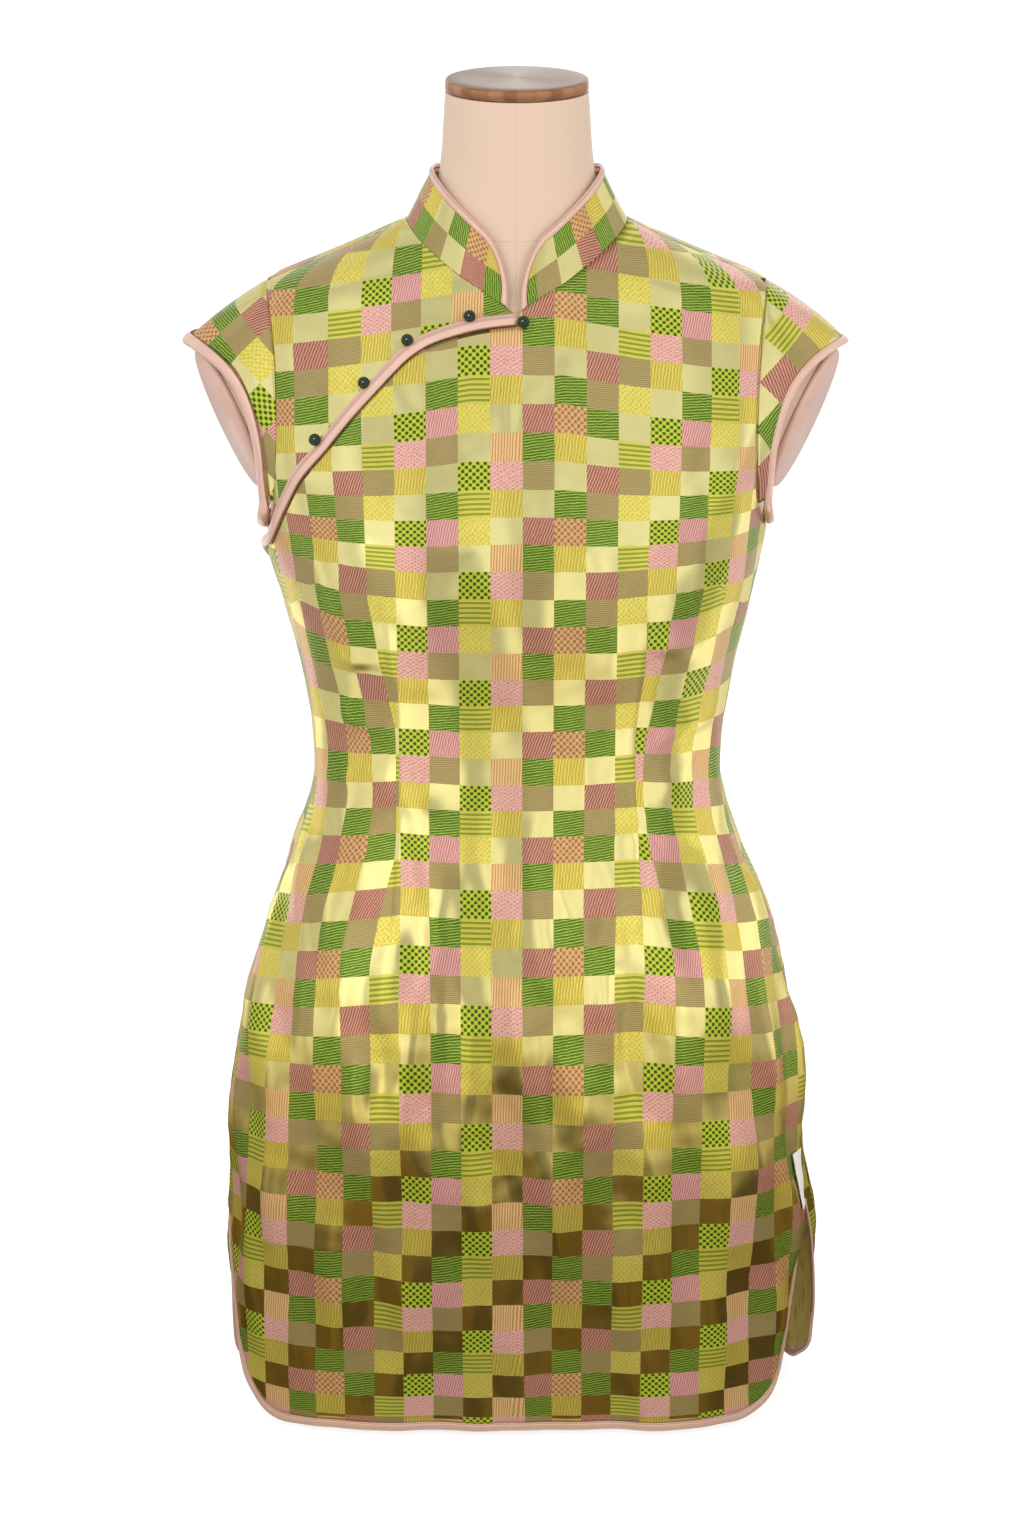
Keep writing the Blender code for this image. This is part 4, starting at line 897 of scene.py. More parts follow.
class Nodes:
    """A node tree, and short ways to put nodes in it."""

    def __init__(self, tree):
        self.tree = tree

    def set(self, node, socket, value):
        """Links a wire to a socket, or puts a plain value there."""
        target = node.inputs[socket]
        if isinstance(value, Wire):
            self.tree.links.new(value.socket, target)
        elif target.type == "RGBA":
            target.default_value = (*value, 1.0)
        else:
            target.default_value = value

    def add(self, kind, inputs=None, out=0, **settings):
        """A new node's output, from its inputs and its settings."""
        node = self.tree.nodes.new("ShaderNode" + kind)
        for name, value in settings.items():
            setattr(node, name, value)
        for socket, value in (inputs or {}).items():
            self.set(node, socket, value)
        return Wire(self, node.outputs[out])

    def math(self, operation, *values):
        return self.add("Math", dict(enumerate(values)), operation=operation)

    def mix(self, share, first, second, blend="MIX"):
        inputs = {0: share, 6: first, 7: second}
        return self.add("Mix", inputs, 2, data_type="RGBA", blend_type=blend)

    def ramp(self, value, stops, steps=False):
        wire = self.add("ValToRGB", {0: value})
        ramp = wire.socket.node.color_ramp
        ramp.interpolation = "CONSTANT" if steps else "LINEAR"
        ramp.elements[1].position = 1.0
        for position, _ in stops[1:-1]:
            ramp.elements.new(position)
        for point, (position, colour) in zip(ramp.elements, stops):
            point.position = position
            point.color = (*colour, 1.0)
        return wire

    def noise(self, vector, scale, detail=2.0, out="Fac"):
        return self.add("TexNoise", {"Vector": vector, "Scale": scale, "Detail": detail}, out)

    def vector(self, x, y):
        return self.add("CombineXYZ", {0: x, 1: y})

    def place(self, out="Object"):
        return self.add("TexCoord", out=out)


class Finish(Nodes):
    """A material and the nodes that draw it."""

    def __init__(self, name, **constants):
        self.made = bpy.data.materials.new(name)
        self.made.use_nodes = True
        super().__init__(self.made.node_tree)
        self.shader = self.tree.nodes["Principled BSDF"]
        self.surface(**constants)

    def surface(self, **sockets):
        for socket, value in sockets.items():
            self.set(self.shader, socket.replace("_", " "), value)

    def relief(self, height, distance, strength=1.0):
        inputs = {"Strength": strength, "Distance": distance, "Height": height}
        self.surface(Normal=self.add("Bump", inputs))


def recipe(**constants):
    """Makes a material once, named after the function that draws it, from plain values."""
    def named(draw):
        def shared(*more):
            name = draw.__name__
            if name not in bpy.data.materials:
                draw(Finish(name, **constants), *more)
            return bpy.data.materials[name]
        return shared
    return named


# Each check's ground colour and figure colour, in screen values; its figure's lines across and
# down one check, how far they waver, how far they break into dots, and how much figure shows;
# then how far the check shines like metal.
WEAVES = {
    "cream": ((232, 222, 152), (222, 211, 139), 0, 0, 0, 0, 0, 0.98),
    "green": ((82, 114, 14), (161, 185, 84), 1.6, 10, 0.3, 0, 0.34, 0.48),
    "stripe": ((211, 203, 85), (145, 153, 52), 0, 5.5, 0.02, 0, 0.42, 0.46),
    "checker": ((188, 202, 62), (69, 81, 10), 4.3, 4, 0.04, 1, 0.42, 0.34),
    "gold": ((199, 176, 70), (226, 209, 102), 10, 1, 0.35, 0, 0.42, 0.52),
    "yellow": ((229, 216, 104), (211, 191, 82), 6, 5, 0.5, 0.7, 0.38, 0.52),
    "taupe": ((180, 162, 105), (156, 135, 85), 1, 14, 0.1, 0, 0.42, 0.46),
    "rose": ((232, 178, 166), (202, 145, 125), 5, 7, 0.5, 0.7, 0.36, 0.34),
    "pink": ((226, 173, 161), (191, 124, 124), 12, 2.4, 0.3, 0, 0.42, 0.32),
    "mauve": ((205, 151, 126), (149, 87, 72), 11, 3.6, 0.25, 0, 0.46, 0.32),
    "coral": ((214, 170, 115), (166, 113, 70), 5, 4, 0.2, 0.9, 0.42, 0.34),
    "peach": ((237, 197, 138), (198, 149, 92), 11, 0.4, 0.15, 0, 0.42, 0.36),
}
FINEST = 24.0


@recipe(Roughness=0.5, Coat_Weight=0.06, Coat_Roughness=0.28, Anisotropic=0.35,
        Specular_IOR_Level=0.35, Specular_Tint=(0.86, 0.82, 0.68))
def satin_brocade(cloth):
    """Satin brocade: the chart's checks, each with its own colours, figure and shine."""
    flat = cloth.place("UV")
    across, down, _ = flat.split()
    shift_across, shift_down, _ = cloth.noise(flat, 26.0, 1.0, "Color").split()
    checks = [WEAVES[name] for name in " ".join(CHART).split()]
    columns = len(checks) / len(CHART)
    column = ((shift_across * 0.05 + (across - 0.025)) % columns).do("FLOOR")
    row = ((shift_down * 0.04 + (down - 0.02)) % len(CHART)).do("FLOOR")
    index = (row * columns + (column + 0.5)) / len(checks)

    def chart(value):
        """A value of each check, told apart by its place in the chart."""
        stops = [(number / len(checks), value(weave)) for number, weave in enumerate(checks)]
        return cloth.ramp(index, stops, steps=True)

    ground = chart(lambda weave: linear(*weave[0]))
    figure = chart(lambda weave: linear(*weave[1]))
    lines = chart(lambda weave: (weave[2] / FINEST, weave[3] / FINEST, weave[4]))
    lines_across, lines_down, waver = lines.split()
    dotted, shown, shine = chart(lambda weave: weave[5:]).split()
    turn_across = lines_across * FINEST * across
    turn_down = lines_down * FINEST * down
    bend = waver * (cloth.noise(flat, 5.0, 3.0) - 0.5) * 3.2
    wave = ((turn_across + turn_down + bend) * TURN).do("SINE")
    dots = (turn_across * TURN).do("SINE") * ((turn_down + bend) * TURN).do("SINE")
    wave = wave * (1.0 - dotted) + dots * dotted
    thread = cloth.noise(flat.scaled(9.0, 40.0), 1.0) - 0.5
    wave = thread * 0.4 + (wave * 0.5 + 0.5)
    mask = ((wave - (1.0 - shown - 0.12)) * 5.0).do("MAXIMUM", 0.0).do("MINIMUM", 1.0)
    mottle = cloth.noise(flat, 2.2, 3.0)
    shade = cloth.ramp(mottle, [(0.3, (0.965, 0.965, 0.96)), (0.7, (1.0, 1.0, 1.0))])
    colour = cloth.mix(1.0, cloth.mix(mask, ground, figure), shade, "MULTIPLY")
    fibre = cloth.noise(flat.scaled(30.0, 4.0), 3.0)
    cloth.surface(Base_Color=colour, Metallic=shine, Roughness=fibre * 0.06 + 0.22)
    cloth.relief(mask, 0.0001, 0.8)


@recipe(Metallic=0.15, Coat_Weight=0.15, Coat_Roughness=0.35)
def brocade_wrong_side(cloth):
    """The wrong side of the brocade: olive-brown satin with the figures' floats as faint bars."""
    flat = cloth.place("UV")
    bars = cloth.noise(flat.scaled(3.0, 0.6), 1.3)
    threads = cloth.noise(flat.scaled(40.0, 5.0), 2.0)
    colour = cloth.ramp(bars, [(0.35, linear(204, 176, 84)), (0.55, linear(242, 222, 134)),
                               (0.7, linear(190, 192, 98))])
    cloth.surface(Base_Color=colour, Roughness=threads * 0.15 + 0.36)
    cloth.relief(threads, 0.0001, 0.5)


@recipe(Metallic=0.34, Coat_Weight=0.4, Coat_Roughness=0.25, Anisotropic=0.4)
def binding_satin(satin):
    """Pink satin cut on the bias, with a stitched inner edge."""
    flat = satin.place("UV")
    along, across, _ = flat.split()
    threads = satin.noise(satin.vector((along + across) * 60.0, (along - across) * 6.0), 1.0)
    patches = satin.noise(flat.scaled(0.5, 1.0), 1.0)
    base = tuple(bpy.context.scene.cheongsam_cloth.binding_colour)
    colour = satin.mix(patches * 0.8 + threads * 0.35, shaded(base, 0.82), base)
    seam = (across - STITCH_LINE).do("ABSOLUTE").do("LESS_THAN", 0.045) * 0.5
    colour = satin.mix(seam, colour, shaded(base, 0.42))
    satin.surface(Base_Color=colour, Roughness=threads * 0.12 + 0.24)
    satin.relief(threads, 0.00004, 0.5)


@recipe(Roughness=0.06, Specular_IOR_Level=0.5)
def bead_gloss(bead):
    base = tuple(bpy.context.scene.cheongsam_cloth.bead_colour)
    cloud = bead.noise(bead.place(), 260.0)
    bead.surface(Base_Color=bead.ramp(cloud, [(0.35, shaded(base, 0.6)), (0.7, base)]))


@recipe(Roughness=0.62, Sheen_Weight=0.2)
def label_tape(white):
    """White woven tape of the side label, left blank."""
    ribs = white.noise(white.place().scaled(400.0, 400.0, 2600.0), 1.0, 1.0)
    colour = white.ramp(ribs, [(0.3, linear(226, 218, 206)), (0.7, linear(246, 241, 233))])
    white.surface(Base_Color=colour)
    white.relief(ribs, 0.00012, 0.6)


@recipe(Roughness=0.6, Sheen_Weight=0.2)
def sewing_thread(thread):
    twist = thread.noise(thread.place(), 1500.0, 1.0)
    colour = thread.ramp(twist, [(0.3, linear(34, 40, 14)), (0.7, linear(70, 74, 34))])
    thread.surface(Base_Color=colour)


@recipe(Sheen_Weight=0.35, Sheen_Roughness=0.5, Specular_IOR_Level=0.3)
def form_jersey(knit):
    """Stretched peach jersey: fine knit, a seam up the front of the neck and one across it."""
    settings = bpy.context.scene.cheongsam_form
    place = knit.place()
    x, y, z = place.split()
    ribs = (x.do("ARCTAN2", y) * 330.0).do("SINE")
    courses = (z * 5200.0).do("SINE")
    stitches = ribs * courses * 0.25 + 0.5
    fuzz = knit.noise(place, 900.0)
    base = tuple(settings.jersey_colour)
    deep = tuple(value * share for value, share in zip(base, (0.93, 0.88, 0.84)))
    colour = knit.mix(knit.noise(place, 9.0, 3.0) * 0.7 + fuzz * 0.3, deep, base)
    upright = (x + 0.0005).do("ABSOLUTE")
    level = (z - settings.neck_seam_height).do("ABSOLUTE")
    seam = 1.0 - (upright.do("MINIMUM", level) / 0.0009).do("MINIMUM", 1.0)
    seam = seam * z.do("GREATER_THAN", 0.74)
    colour = knit.mix(seam * 0.14, colour, shaded(base, 0.5))
    knit.surface(Base_Color=colour, Roughness=fuzz * 0.12 + 0.68)
    knit.relief(stitches * 0.5 - seam, 0.0004, 0.45)


@recipe(Coat_Weight=0.2, Coat_Roughness=0.3)
def arm_plate_lacquer(plate):
    base = tuple(bpy.context.scene.cheongsam_form.plate_colour)
    speck = plate.noise(plate.place(), 240.0)
    colour = plate.mix(plate.noise(plate.place(), 14.0, 3.0), shaded(base, 0.86), base)
    plate.surface(Base_Color=colour, Roughness=speck * 0.12 + 0.40)
    plate.relief(speck, 0.0002, 0.3)


@recipe(Metallic=1.0, Anisotropic=0.6)
def cap_metal(metal):
    """Champagne metal: the top brushed round its axis, with painted highlight rays in four lighter
    sectors; the rim polished and darker.
    """
    settings = bpy.context.scene.cheongsam_form
    x, y, z = metal.place().split()
    reach = (x * x + y * y).do("SQRT")
    rings = metal.noise(metal.vector(reach * 2400.0, z * 2400.0), 1.0)
    # Painted highlight: four lighter and four darker sectors round the top stand in for the brushed
    # metal's reflections.
    painted_highlight_rays = (x.do("ARCTAN2", y * -1.0) * 4.0 + 0.8).do("SINE")
    base = tuple(settings.metal_colour)
    # The top's colour: brushing grain from the rings, plus the painted highlight rays.
    top = metal.mix(rings * 0.5 + (painted_highlight_rays * 0.22 + 0.3), shaded(base, 0.78), base)
    rim = z.do("LESS_THAN", settings.rim_height)
    metal.surface(Base_Color=metal.mix(rim, top, tuple(settings.rim_colour)),
                  Roughness=metal.mix(rim, (0.34,) * 3, (0.16,) * 3))
    metal.relief(rings, 0.00003, 0.4)


@recipe(Metallic=0.3, Coat_Weight=0.3, Coat_Roughness=0.3)
def stand_paint(paint):
    orange_peel = paint.noise(paint.place(), 320.0)
    wear = paint.noise(paint.place(), 22.0, 4.0)
    colour = paint.ramp(wear, [(0.35, linear(40, 40, 42)), (0.7, linear(62, 61, 60))])
    paint.surface(Base_Color=colour, Roughness=orange_peel * 0.2 + 0.35)
    paint.relief(orange_peel, 0.0003, 0.4)


@recipe(Roughness=0.9, Specular_IOR_Level=0.1, Emission_Color=(1.0, 1.0, 1.0),
        Emission_Strength=0.85)
def floor_paint(pale):
    pale.surface(Base_Color=tuple(bpy.context.scene.cheongsam_stage.floor_colour))


# ---- making pieces
def baked(name, working, smooth=True, sharp=None):
    """A finished bmesh's mesh, smooth but for the edges that turn by more than an angle."""
    for face in working.faces:
        face.smooth = smooth
    if sharp:
        for edge in working.edges:
            edge.smooth = edge.calc_face_angle(0.0) < math.radians(sharp)
    mesh_data = bpy.data.meshes.new(name)
    working.to_mesh(mesh_data)
    working.free()
    return mesh_data


def in_scene(name, mesh_data, materials):
    made = bpy.data.objects.new(name, mesh_data)
    bpy.context.scene.collection.objects.link(made)
    for each in materials:
        mesh_data.materials.append(each)
    return made


def settle(name, mesh_data, materials, nodes, wall=0.0):
    """Puts a piece in place of its CAD nodes, riding on the form, with its wall towards it."""
    made = in_scene(name, mesh_data, materials)
    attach(made, "root")
    if nodes:
        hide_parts(*nodes)
    if wall:
        thicken = made.modifiers.new("wall", "SOLIDIFY")
        thicken.thickness = wall * MM
        thicken.offset = -1.0
        thicken.use_even_offset = False
        thicken.material_offset = len(materials) - 1


def grid_mesh(name, points, flat, closed=False):
    """A grid laid on its points, rows first, with its flat pattern as the UV map."""
    rows, columns = points.shape[:2]
    across = columns + 1 if closed else columns
    grid = bmesh.new()
    bmesh.ops.create_grid(grid, x_segments=across - 1, y_segments=rows - 1, size=1.0)
    places = (points * MM).tolist()
    flats = np.stack(np.broadcast_arrays(*flat), axis=-1).tolist()
    flat_of = {}
    for index, vertex in enumerate(grid.verts):
        row, column = divmod(index, across)
        vertex.co = places[row][column % columns]
        flat_of[vertex] = flats[row][column]
    layer = grid.loops.layers.uv.new("UVMap")
    for face in grid.faces:
        for corner in face.loops:
            corner[layer].uv = flat_of[corner.vert]
    if closed:
        bmesh.ops.remove_doubles(grid, verts=grid.verts, dist=1e-6)
    return baked(name, grid)


def cloth_piece(name, sheet, node, wall=CLOTH, flip=False):
    """A sheet of brocade, turned so that its right side faces out."""
    points, weave = sheet
    order = -1 if flip else 1
    mesh_data = grid_mesh(name, points[:, ::order], [each[:, ::order] for each in weave])
    settle(name, mesh_data, [satin_brocade(), brocade_wrong_side()], [node], wall)


def binding_piece(name, points, node, wall=BINDING, closed=False):
    """A rolled strip of satin; its UV map runs along it and across it."""
    ends = points[0, [*range(points.shape[1]), 0]] if closed else points[0]
    along = running(np.linalg.norm(np.diff(ends, axis=0), axis=-1)) / 6.0
    mesh_data = grid_mesh(name, points, (along[None, :], ACROSS[:, None]), closed)
    settle(name, mesh_data, [binding_satin()], [node], wall)


def smooth_copy(name, node, material, sharp=35.0):
    """A CAD node with its loose triangles joined and its shading smoothed."""
    copy = bmesh.new()
    copy.from_mesh(frame["nodes"][node].data)
    bmesh.ops.remove_doubles(copy, verts=copy.verts, dist=2e-6)
    settle(name, baked(name, copy, sharp=sharp), [material], [node])


def spin_closed(working, geometry, steps, join):
    """Spins a profile once round +Z and closes it."""
    bmesh.ops.spin(working, geom=geometry, cent=(0, 0, 0), axis=(0, 0, 1), angle=TURN,
                   steps=steps, use_merge=True, use_duplicate=False)
    bmesh.ops.remove_doubles(working, verts=working.verts, dist=join)
    bmesh.ops.recalc_face_normals(working, faces=working.faces)


def turned(name, profile, material, node):
    """A body turned about +Z from a profile of radius and height."""
    body_mesh = bmesh.new()
    line = [body_mesh.verts.new((radius * MM, 0.0, height * MM)) for radius, height in profile]
    edges = [body_mesh.edges.new(pair) for pair in zip(line, line[1:])]
    spin_closed(body_mesh, line + edges, 128, 1e-6)
    settle(name, baked(name, body_mesh, sharp=40.0), [material], [node])


def make_bead(number):
    """A drilled bead where its node lies, and the thread that holds it down."""
    low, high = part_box(f"bead_{number}")
    centre = (low + high) / 2.0
    radius = (high.x - low.x) / 2.0
    hole = 0.14
    ball = bmesh.new()
    bmesh.ops.create_uvsphere(ball, u_segments=40, v_segments=24, radius=radius)
    for vertex in ball.verts:
        reach = math.hypot(vertex.co.x, vertex.co.y) / radius
        if reach < hole:
            vertex.co.z *= 0.86 + 0.10 * reach / hole
    bmesh.ops.recalc_face_normals(ball, faces=ball.faces)
    bmesh.ops.translate(ball, verts=ball.verts, vec=centre)
    name = f"bead_{number}_ball"
    settle(name, baked(name, ball), [bead_gloss()], [f"bead_{number}"])
    loop = bmesh.new()
    bmesh.ops.create_circle(loop, segments=10, radius=0.00035)
    bmesh.ops.rotate(loop, verts=loop.verts, cent=(0, 0, 0),
                     matrix=Matrix.Rotation(math.pi / 2, 3, "X"))
    bmesh.ops.translate(loop, verts=loop.verts, vec=(radius * 0.62, 0, 0))
    spin_closed(loop, loop.verts[:] + loop.edges[:], 28, 1e-7)
    bmesh.ops.translate(loop, verts=loop.verts,
                        vec=centre + Vector((0.0, 0.55 * radius, -0.72 * radius)))
    name = f"bead_{number}_thread"
    settle(name, baked(name, loop), [sewing_thread()], ())


def make_label():
    """A blank tab of tape on the side of the front, above the slit."""
    across = np.linspace(0.0, 1.0, 9)
    heights = SLIT_TOP + LABEL_FOOT + np.linspace(0.0, LABEL_SIZE[1], 33)
    arc = edge_arc(FRONT, LEFT, heights)[:, None] - LABEL_FROM_SIDE + LABEL_SIZE[0] * across
    height = np.repeat(heights[:, None], len(across), axis=1)
    lift = LABEL_LIFT + 0.35 * np.sin(height / 5.0 + 2.0 * across) + 0.5 * (1.0 - across) ** 2
    name = "side_label_tape"
    mesh_data = grid_mesh(name, drape(FRONT, arc, height, lift), (arc, height))
    settle(name, mesh_data, [label_tape()], ["side_label"], LABEL_WALL)


# ---- settings
def colour_setting(name, description, default):
    return FloatVectorProperty(name=name, description=description, subtype="COLOR", size=3,
                               min=0.0, max=1.0, default=default)


def height_setting(name, description, default):
    return FloatProperty(name=name, description=description, default=default,
                         subtype="DISTANCE", unit="LENGTH")


class ClothSettings(bpy.types.PropertyGroup):
    """Sizes and colours of the dress."""

    fold_depth: FloatProperty(
        name="Fold depth", description="How deep the worn cloth's soft folds are, in millimetres",
        default=5.2, min=0.0, max=6.0)
    binding_colour: colour_setting(
        "Binding", "Colour of the satin binding", linear(240, 196, 176))
    bead_colour: colour_setting("Beads", "Colour of the round beads", linear(20, 36, 8))


class FormSettings(bpy.types.PropertyGroup):
    """Sizes and colours of the dress form."""

    jersey_colour: colour_setting(
        "Jersey", "Colour of the form's stretched cover", linear(230, 204, 180))
    plate_colour: colour_setting(
        "Arm plates", "Colour of the smooth plates at the arms", linear(236, 190, 172))
    metal_colour: colour_setting(
        "Cap metal", "Colour of the neck cap's metal", linear(182, 162, 146))
    rim_colour: colour_setting(
        "Cap rim", "Colour of the cap's polished rim", linear(172, 122, 90))
    rim_height: height_setting(
        "Rim height", "Height below which the cap's metal is its polished rim", 0.8942)
    neck_seam_height: height_setting(
        "Neck seam", "Height of the cover's seam across the neck", 0.7955)


class StageSettings(bpy.types.PropertyGroup):
    """Light and floor."""

    light: FloatProperty(
        name="Light", description="Strength of the soft lights", default=1.0, min=0.0)
    floor_colour: colour_setting("Floor", "Colour of the plain floor", (0.32, 0.32, 0.32))


# ---- floor, light and camera
# The air's light by how high it lies: 0 is straight down, 0.5 level and 1 straight up.
AIR = table("level light", "0 0.45; 0.25 0.6; 0.45 0.98; 0.53 1.14; 0.64 1.02; 0.8 0.88; 1 0.82")
AIR_STRENGTH = 0.92
# A dim ring below eye level, seen in the satin alone: its radius, and its light by height,
# both in metres.
DIM_BAND_REACH = 0.30
DIM_BAND = table("height red green blue", """
    -0.5 0.8 0.74 0.62; -0.28 0.5 0.42 0.26; -0.12 0.12 0.065 0.003; 0.12 0.12 0.065 0.003
    0.22 0.66 0.57 0.36; 0.3 1.08 1.04 0.94; 0.6 0.98 0.98 0.96
""")
# Soft boxes stand round the form: how often they come round, where the first one is in
# radians, and how much they add.
BOXES = ((5.0, 0.9, 0.18), (9.0, -0.5, 0.16), (23.0, 0.4, 0.16))
# The lamps' places, what each is aimed at, their sizes and their power. The glint lights the
# glossy beads alone.
LAMPS = {
    "key": ((-1.6, -3.4, 3.4), (0.0, 0.0, 0.5), (2.8, 2.8), 62.0),
    "fill": ((2.2, -3.2, 2.4), (0.0, 0.0, 0.45), (2.4, 2.4), 34.0),
    "glint": ((-1.1, -3.6, 2.9), (0.0, 0.0, 0.7), (1.2, 1.2), 110.0),
    "rear": ((0.5, 3.2, 3.0), (0.0, 0.0, 0.5), (2.6, 2.0), 50.0),
}
CAMERA_PLACE = (-0.001, -5.0, 1.755)
CAMERA_TILT = 14.8
CAMERA_LENS = 183.4
NECK_CAP = (
    (0.0, 895.0), (38.0, 895.0), (44.6, 894.9), (45.6, 894.6), (46.4, 893.9), (46.8, 892.9),
    (46.8, 888.0), (46.5, 887.0), (45.8, 886.4), (45.0, 886.3), (0.0, 886.3),
)


def soft_light(name, strength):
    place, aim, size, energy = LAMPS[name]
    data = bpy.data.lights.new(name, "AREA")
    data.shape = "RECTANGLE"
    data.size, data.size_y = size
    data.energy = energy * strength
    lamp = bpy.data.objects.new(name, data)
    lamp.visible_glossy = name == "glint"
    lamp.location = place
    lamp.rotation_euler = (Vector(aim) - Vector(place)).to_track_quat("-Z", "Y").to_euler()
    bpy.context.scene.collection.objects.link(lamp)
    if name == "glint":
        only = bpy.data.collections.new("lit_by_glint")
        for piece in bpy.context.scene.objects:
            if piece.name.startswith("bead_"):
                only.objects.link(piece)
        lamp.light_linking.receiver_collection = only


def boxes_round(across, back):
    """Light that rises and falls round the form, about 1 on the whole."""
    turn = across.do("ARCTAN2", back)
    total = 1.0
    for often, start, share in BOXES:
        total = total + (turn * often + start).do("SINE") * share
    return total


def studio_air(strength):
    """Soft light from all round: bright above, dim just below eye level, mid below that."""
    world = bpy.data.worlds.new("studio")
    bpy.context.scene.world = world
    world.use_nodes = True
    air = Nodes(world.node_tree)
    across, back, up = air.place("Generated").split()
    stops = [(level, (light,) * 3) for level, light in zip(*AIR.values())]
    background = air.tree.nodes["Background"]
    air.set(background, 0, air.ramp(up * 0.5 + 0.5, stops))
    air.set(background, 1, boxes_round(across, back) * strength)


@recipe(Roughness=1.0, Base_Color=(0.0, 0.0, 0.0), Specular_IOR_Level=0.0)
def dim_card(card, low, high, strength):
    across, back, height = card.place().split()
    stops = [((up - low) / (high - low), tuple(colour)) for up, *colour in zip(*DIM_BAND.values())]
    card.surface(Emission_Color=card.ramp((height - low) / (high - low), stops),
                 Emission_Strength=boxes_round(across, back) ** 2.0 * strength)


def dim_band(strength):
    """A wide ring of dim card round the form that only shiny cloth mirrors."""
    low, high = DIM_BAND["height"][[0, -1]].tolist()
    ring_mesh = bmesh.new()
    bmesh.ops.create_cone(ring_mesh, cap_ends=False, segments=96, radius1=DIM_BAND_REACH,
                          radius2=DIM_BAND_REACH, depth=high - low)
    bmesh.ops.translate(ring_mesh, verts=ring_mesh.verts, vec=(0.0, 0.0, (low + high) / 2.0))
    mesh_data = baked("dim_band", ring_mesh, smooth=False)
    band = in_scene("dim_band", mesh_data, [dim_card(low, high, strength)])
    for ray in ("camera", "diffuse", "transmission", "volume_scatter", "shadow"):
        setattr(band, f"visible_{ray}", False)
    return band


def plain_floor():
    ground = bmesh.new()
    bmesh.ops.create_grid(ground, x_segments=4, y_segments=4, size=40.0)
    floor = in_scene("floor", baked("floor", ground, smooth=False), [floor_paint()])
    floor.visible_glossy = False
    floor.visible_diffuse = False
    return floor


def aim_camera(scene):
    data = bpy.data.cameras.new("camera")
    data.sensor_width = 36.0
    data.lens = CAMERA_LENS
    data.clip_end = 120.0
    camera = bpy.data.objects.new("camera", data)
    camera.location = CAMERA_PLACE
    camera.rotation_euler = (math.radians(90.0 - CAMERA_TILT), 0.0, 0.0)
    scene.collection.objects.link(camera)
    scene.camera = camera
    scene.view_settings.view_transform = "Standard"


# ---- operators
class Maker:
    """What every operator below does: it makes its own part of the scene."""

    def execute(self, context):
        self.make(context.scene)
        return {"FINISHED"}


class CHEONGSAM_OT_front(Maker, bpy.types.Operator):
    """Makes the whole front, with its darts and its curved opening edge"""

    bl_idname = "cheongsam.front"
    bl_label = "Front"

    def make(self, scene):
        cloth_piece("front_cloth", front_cloth(), "front_panel")


class CHEONGSAM_OT_yoke(Maker, bpy.types.Operator):
    """Makes the underlap that shows above the opening"""

    bl_idname = "cheongsam.yoke"
    bl_label = "Underlap"

    def make(self, scene):
        cloth_piece("yoke_cloth", yoke_cloth(), "front_yoke")


class CHEONGSAM_OT_back(Maker, bpy.types.Operator):
    """Makes the whole back"""

    bl_idname = "cheongsam.back"
    bl_label = "Back"

    def make(self, scene):
        cloth_piece("back_cloth", back_cloth(), "back_panel")


class CHEONGSAM_OT_collar(Maker, bpy.types.Operator):
    """Makes the stand collar"""

    bl_idname = "cheongsam.collar"
    bl_label = "Collar"

    def make(self, scene):
        cloth_piece("collar_cloth", collar_cloth(), "collar", COLLAR_CLOTH)


class CHEONGSAM_OT_sleeves(Maker, bpy.types.Operator):
    """Makes both cap sleeves"""

    bl_idname = "cheongsam.sleeves"
    bl_label = "Sleeves"

    def make(self, scene):
        cloth_piece("sleeve_right_cloth", sleeve_cloth(RIGHT), "sleeve_right")
        cloth_piece("sleeve_left_cloth", sleeve_cloth(LEFT), "sleeve_left", flip=True)


class CHEONGSAM_OT_bindings(Maker, bpy.types.Operator):
    """Makes the satin bindings of every free edge"""

    bl_idname = "cheongsam.bindings"
    bl_label = "Bindings"

    def make(self, scene):
        binding_piece("front_hem_satin", hem_binding(FRONT), "binding_front_hem")
        binding_piece("back_hem_satin", hem_binding(BACK)[:, ::-1], "binding_back_hem")
        binding_piece("placket_satin", placket_binding(), "binding_placket", PLACKET_WALL)
        binding_piece("collar_satin", collar_binding(), "binding_collar", COLLAR_WALL)
        for name, sign in (("right", RIGHT), ("left", LEFT)):
            binding_piece(f"sleeve_{name}_satin", sleeve_binding(sign), f"binding_sleeve_{name}",
                          closed=True)


class CHEONGSAM_OT_trim(Maker, bpy.types.Operator):
    """Makes the five beads and the blank side label"""

    bl_idname = "cheongsam.trim"
    bl_label = "Beads and label"

    def make(self, scene):
        for number in range(1, 6):
            make_bead(number)
        make_label()


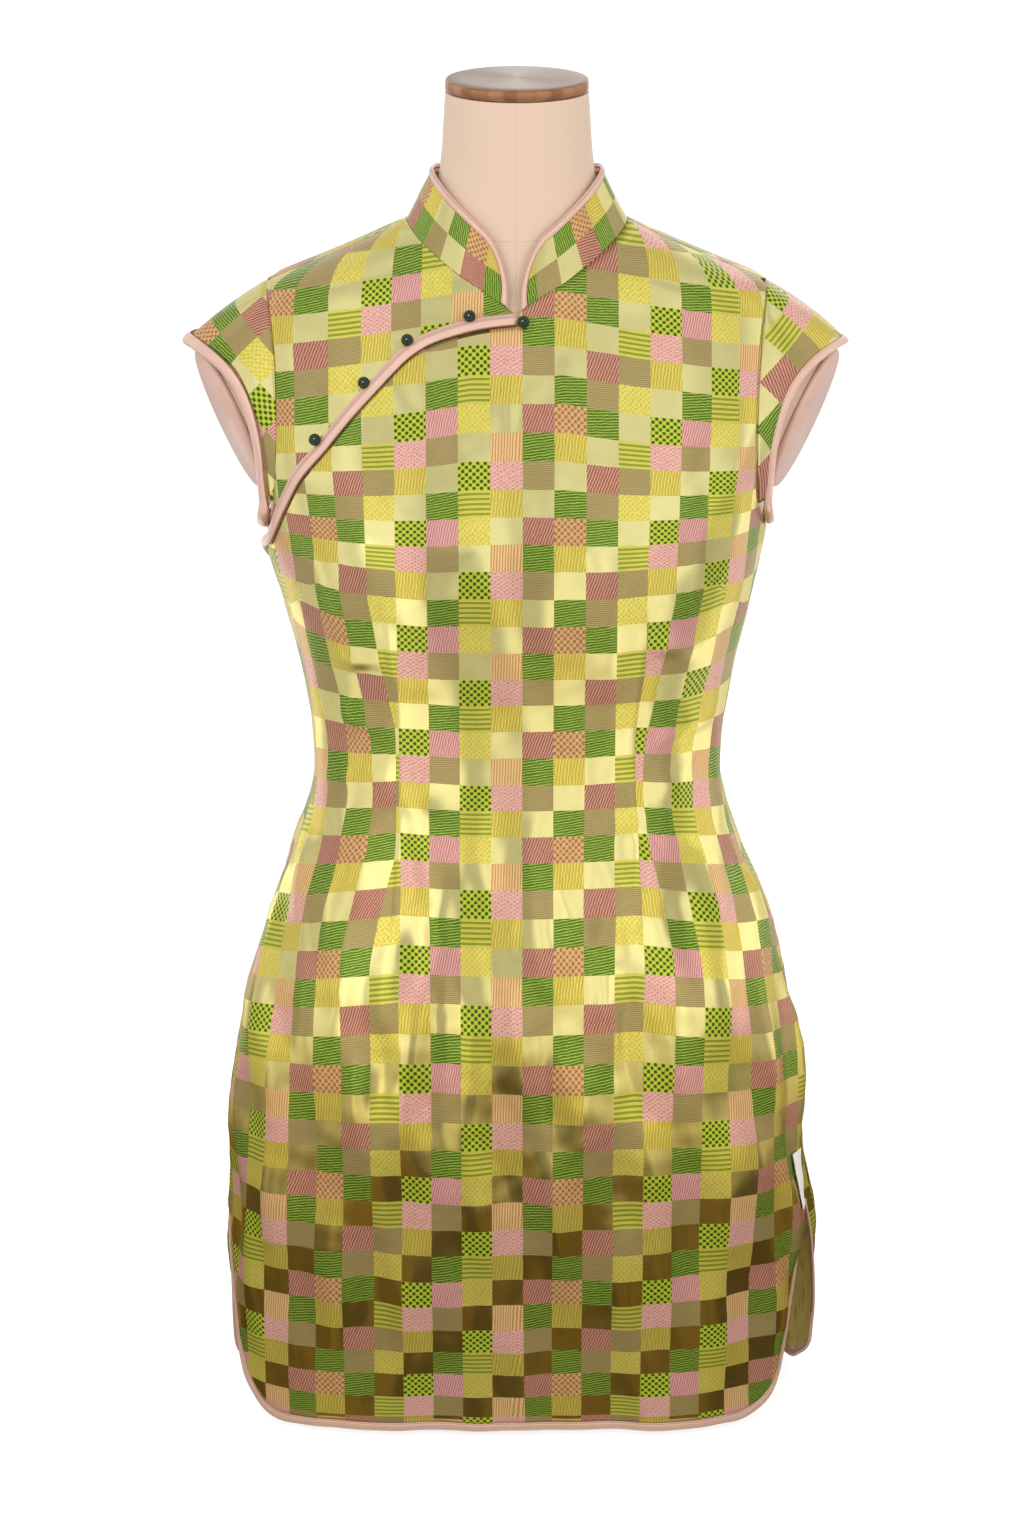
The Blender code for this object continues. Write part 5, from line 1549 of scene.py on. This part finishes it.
class CHEONGSAM_OT_form(Maker, bpy.types.Operator):
    """Makes the jersey form, its arm plates, neck cap and stand"""

    bl_idname = "cheongsam.form"
    bl_label = "Dress form"

    def make(self, scene):
        smooth_copy("form_cover", "form_torso", form_jersey())
        for name in ("right", "left"):
            smooth_copy(f"arm_plate_{name}", f"form_arm_plate_{name}", arm_plate_lacquer(),
                        50.0)
        smooth_copy("stand_pole", "form_pole", stand_paint())
        smooth_copy("stand_base", "form_base", stand_paint())
        turned("neck_cap", NECK_CAP, cap_metal(), "form_neck_cap")


class CHEONGSAM_OT_stage(Maker, bpy.types.Operator):
    """Sets the plain floor, the soft lights and the camera"""

    bl_idname = "cheongsam.stage"
    bl_label = "Floor, light and camera"

    def make(self, scene):
        light = scene.cheongsam_stage.light
        plain_floor()
        dim_band(AIR_STRENGTH * light)
        studio_air(AIR_STRENGTH * light)
        for name in LAMPS:
            soft_light(name, light)
        aim_camera(scene)


PIECES = (
    CHEONGSAM_OT_form, CHEONGSAM_OT_back, CHEONGSAM_OT_yoke, CHEONGSAM_OT_front,
    CHEONGSAM_OT_collar, CHEONGSAM_OT_sleeves, CHEONGSAM_OT_bindings, CHEONGSAM_OT_trim,
    CHEONGSAM_OT_stage,
)
GROUPS = {
    "cheongsam_cloth": ClothSettings,
    "cheongsam_form": FormSettings,
    "cheongsam_stage": StageSettings,
}


class CHEONGSAM_PT_panel(bpy.types.Panel):
    """Lists the dress's pieces and settings"""

    bl_idname = "CHEONGSAM_PT_panel"
    bl_label = "Cheongsam"
    bl_space_type = "VIEW_3D"
    bl_region_type = "UI"
    bl_category = "Cheongsam"

    def draw(self, context):
        column = self.layout.column(align=True)
        for made in PIECES:
            column.operator(made.bl_idname)
        for name in GROUPS:
            group = getattr(context.scene, name)
            box = self.layout.box()
            for setting in group.__annotations__:
                box.prop(group, setting)


CLASSES = (*GROUPS.values(), *PIECES, CHEONGSAM_PT_panel)


def register():
    for each in CLASSES:
        bpy.utils.register_class(each)
    for name, group in GROUPS.items():
        setattr(bpy.types.Scene, name, PointerProperty(type=group))


def unregister():
    for name in GROUPS:
        delattr(bpy.types.Scene, name)
    for each in reversed(CLASSES):
        bpy.utils.unregister_class(each)


def main():
    register()
    for made in PIECES:
        area, name = made.bl_idname.split(".")
        getattr(getattr(bpy.ops, area), name)()


if __name__ == "__main__":
    main()
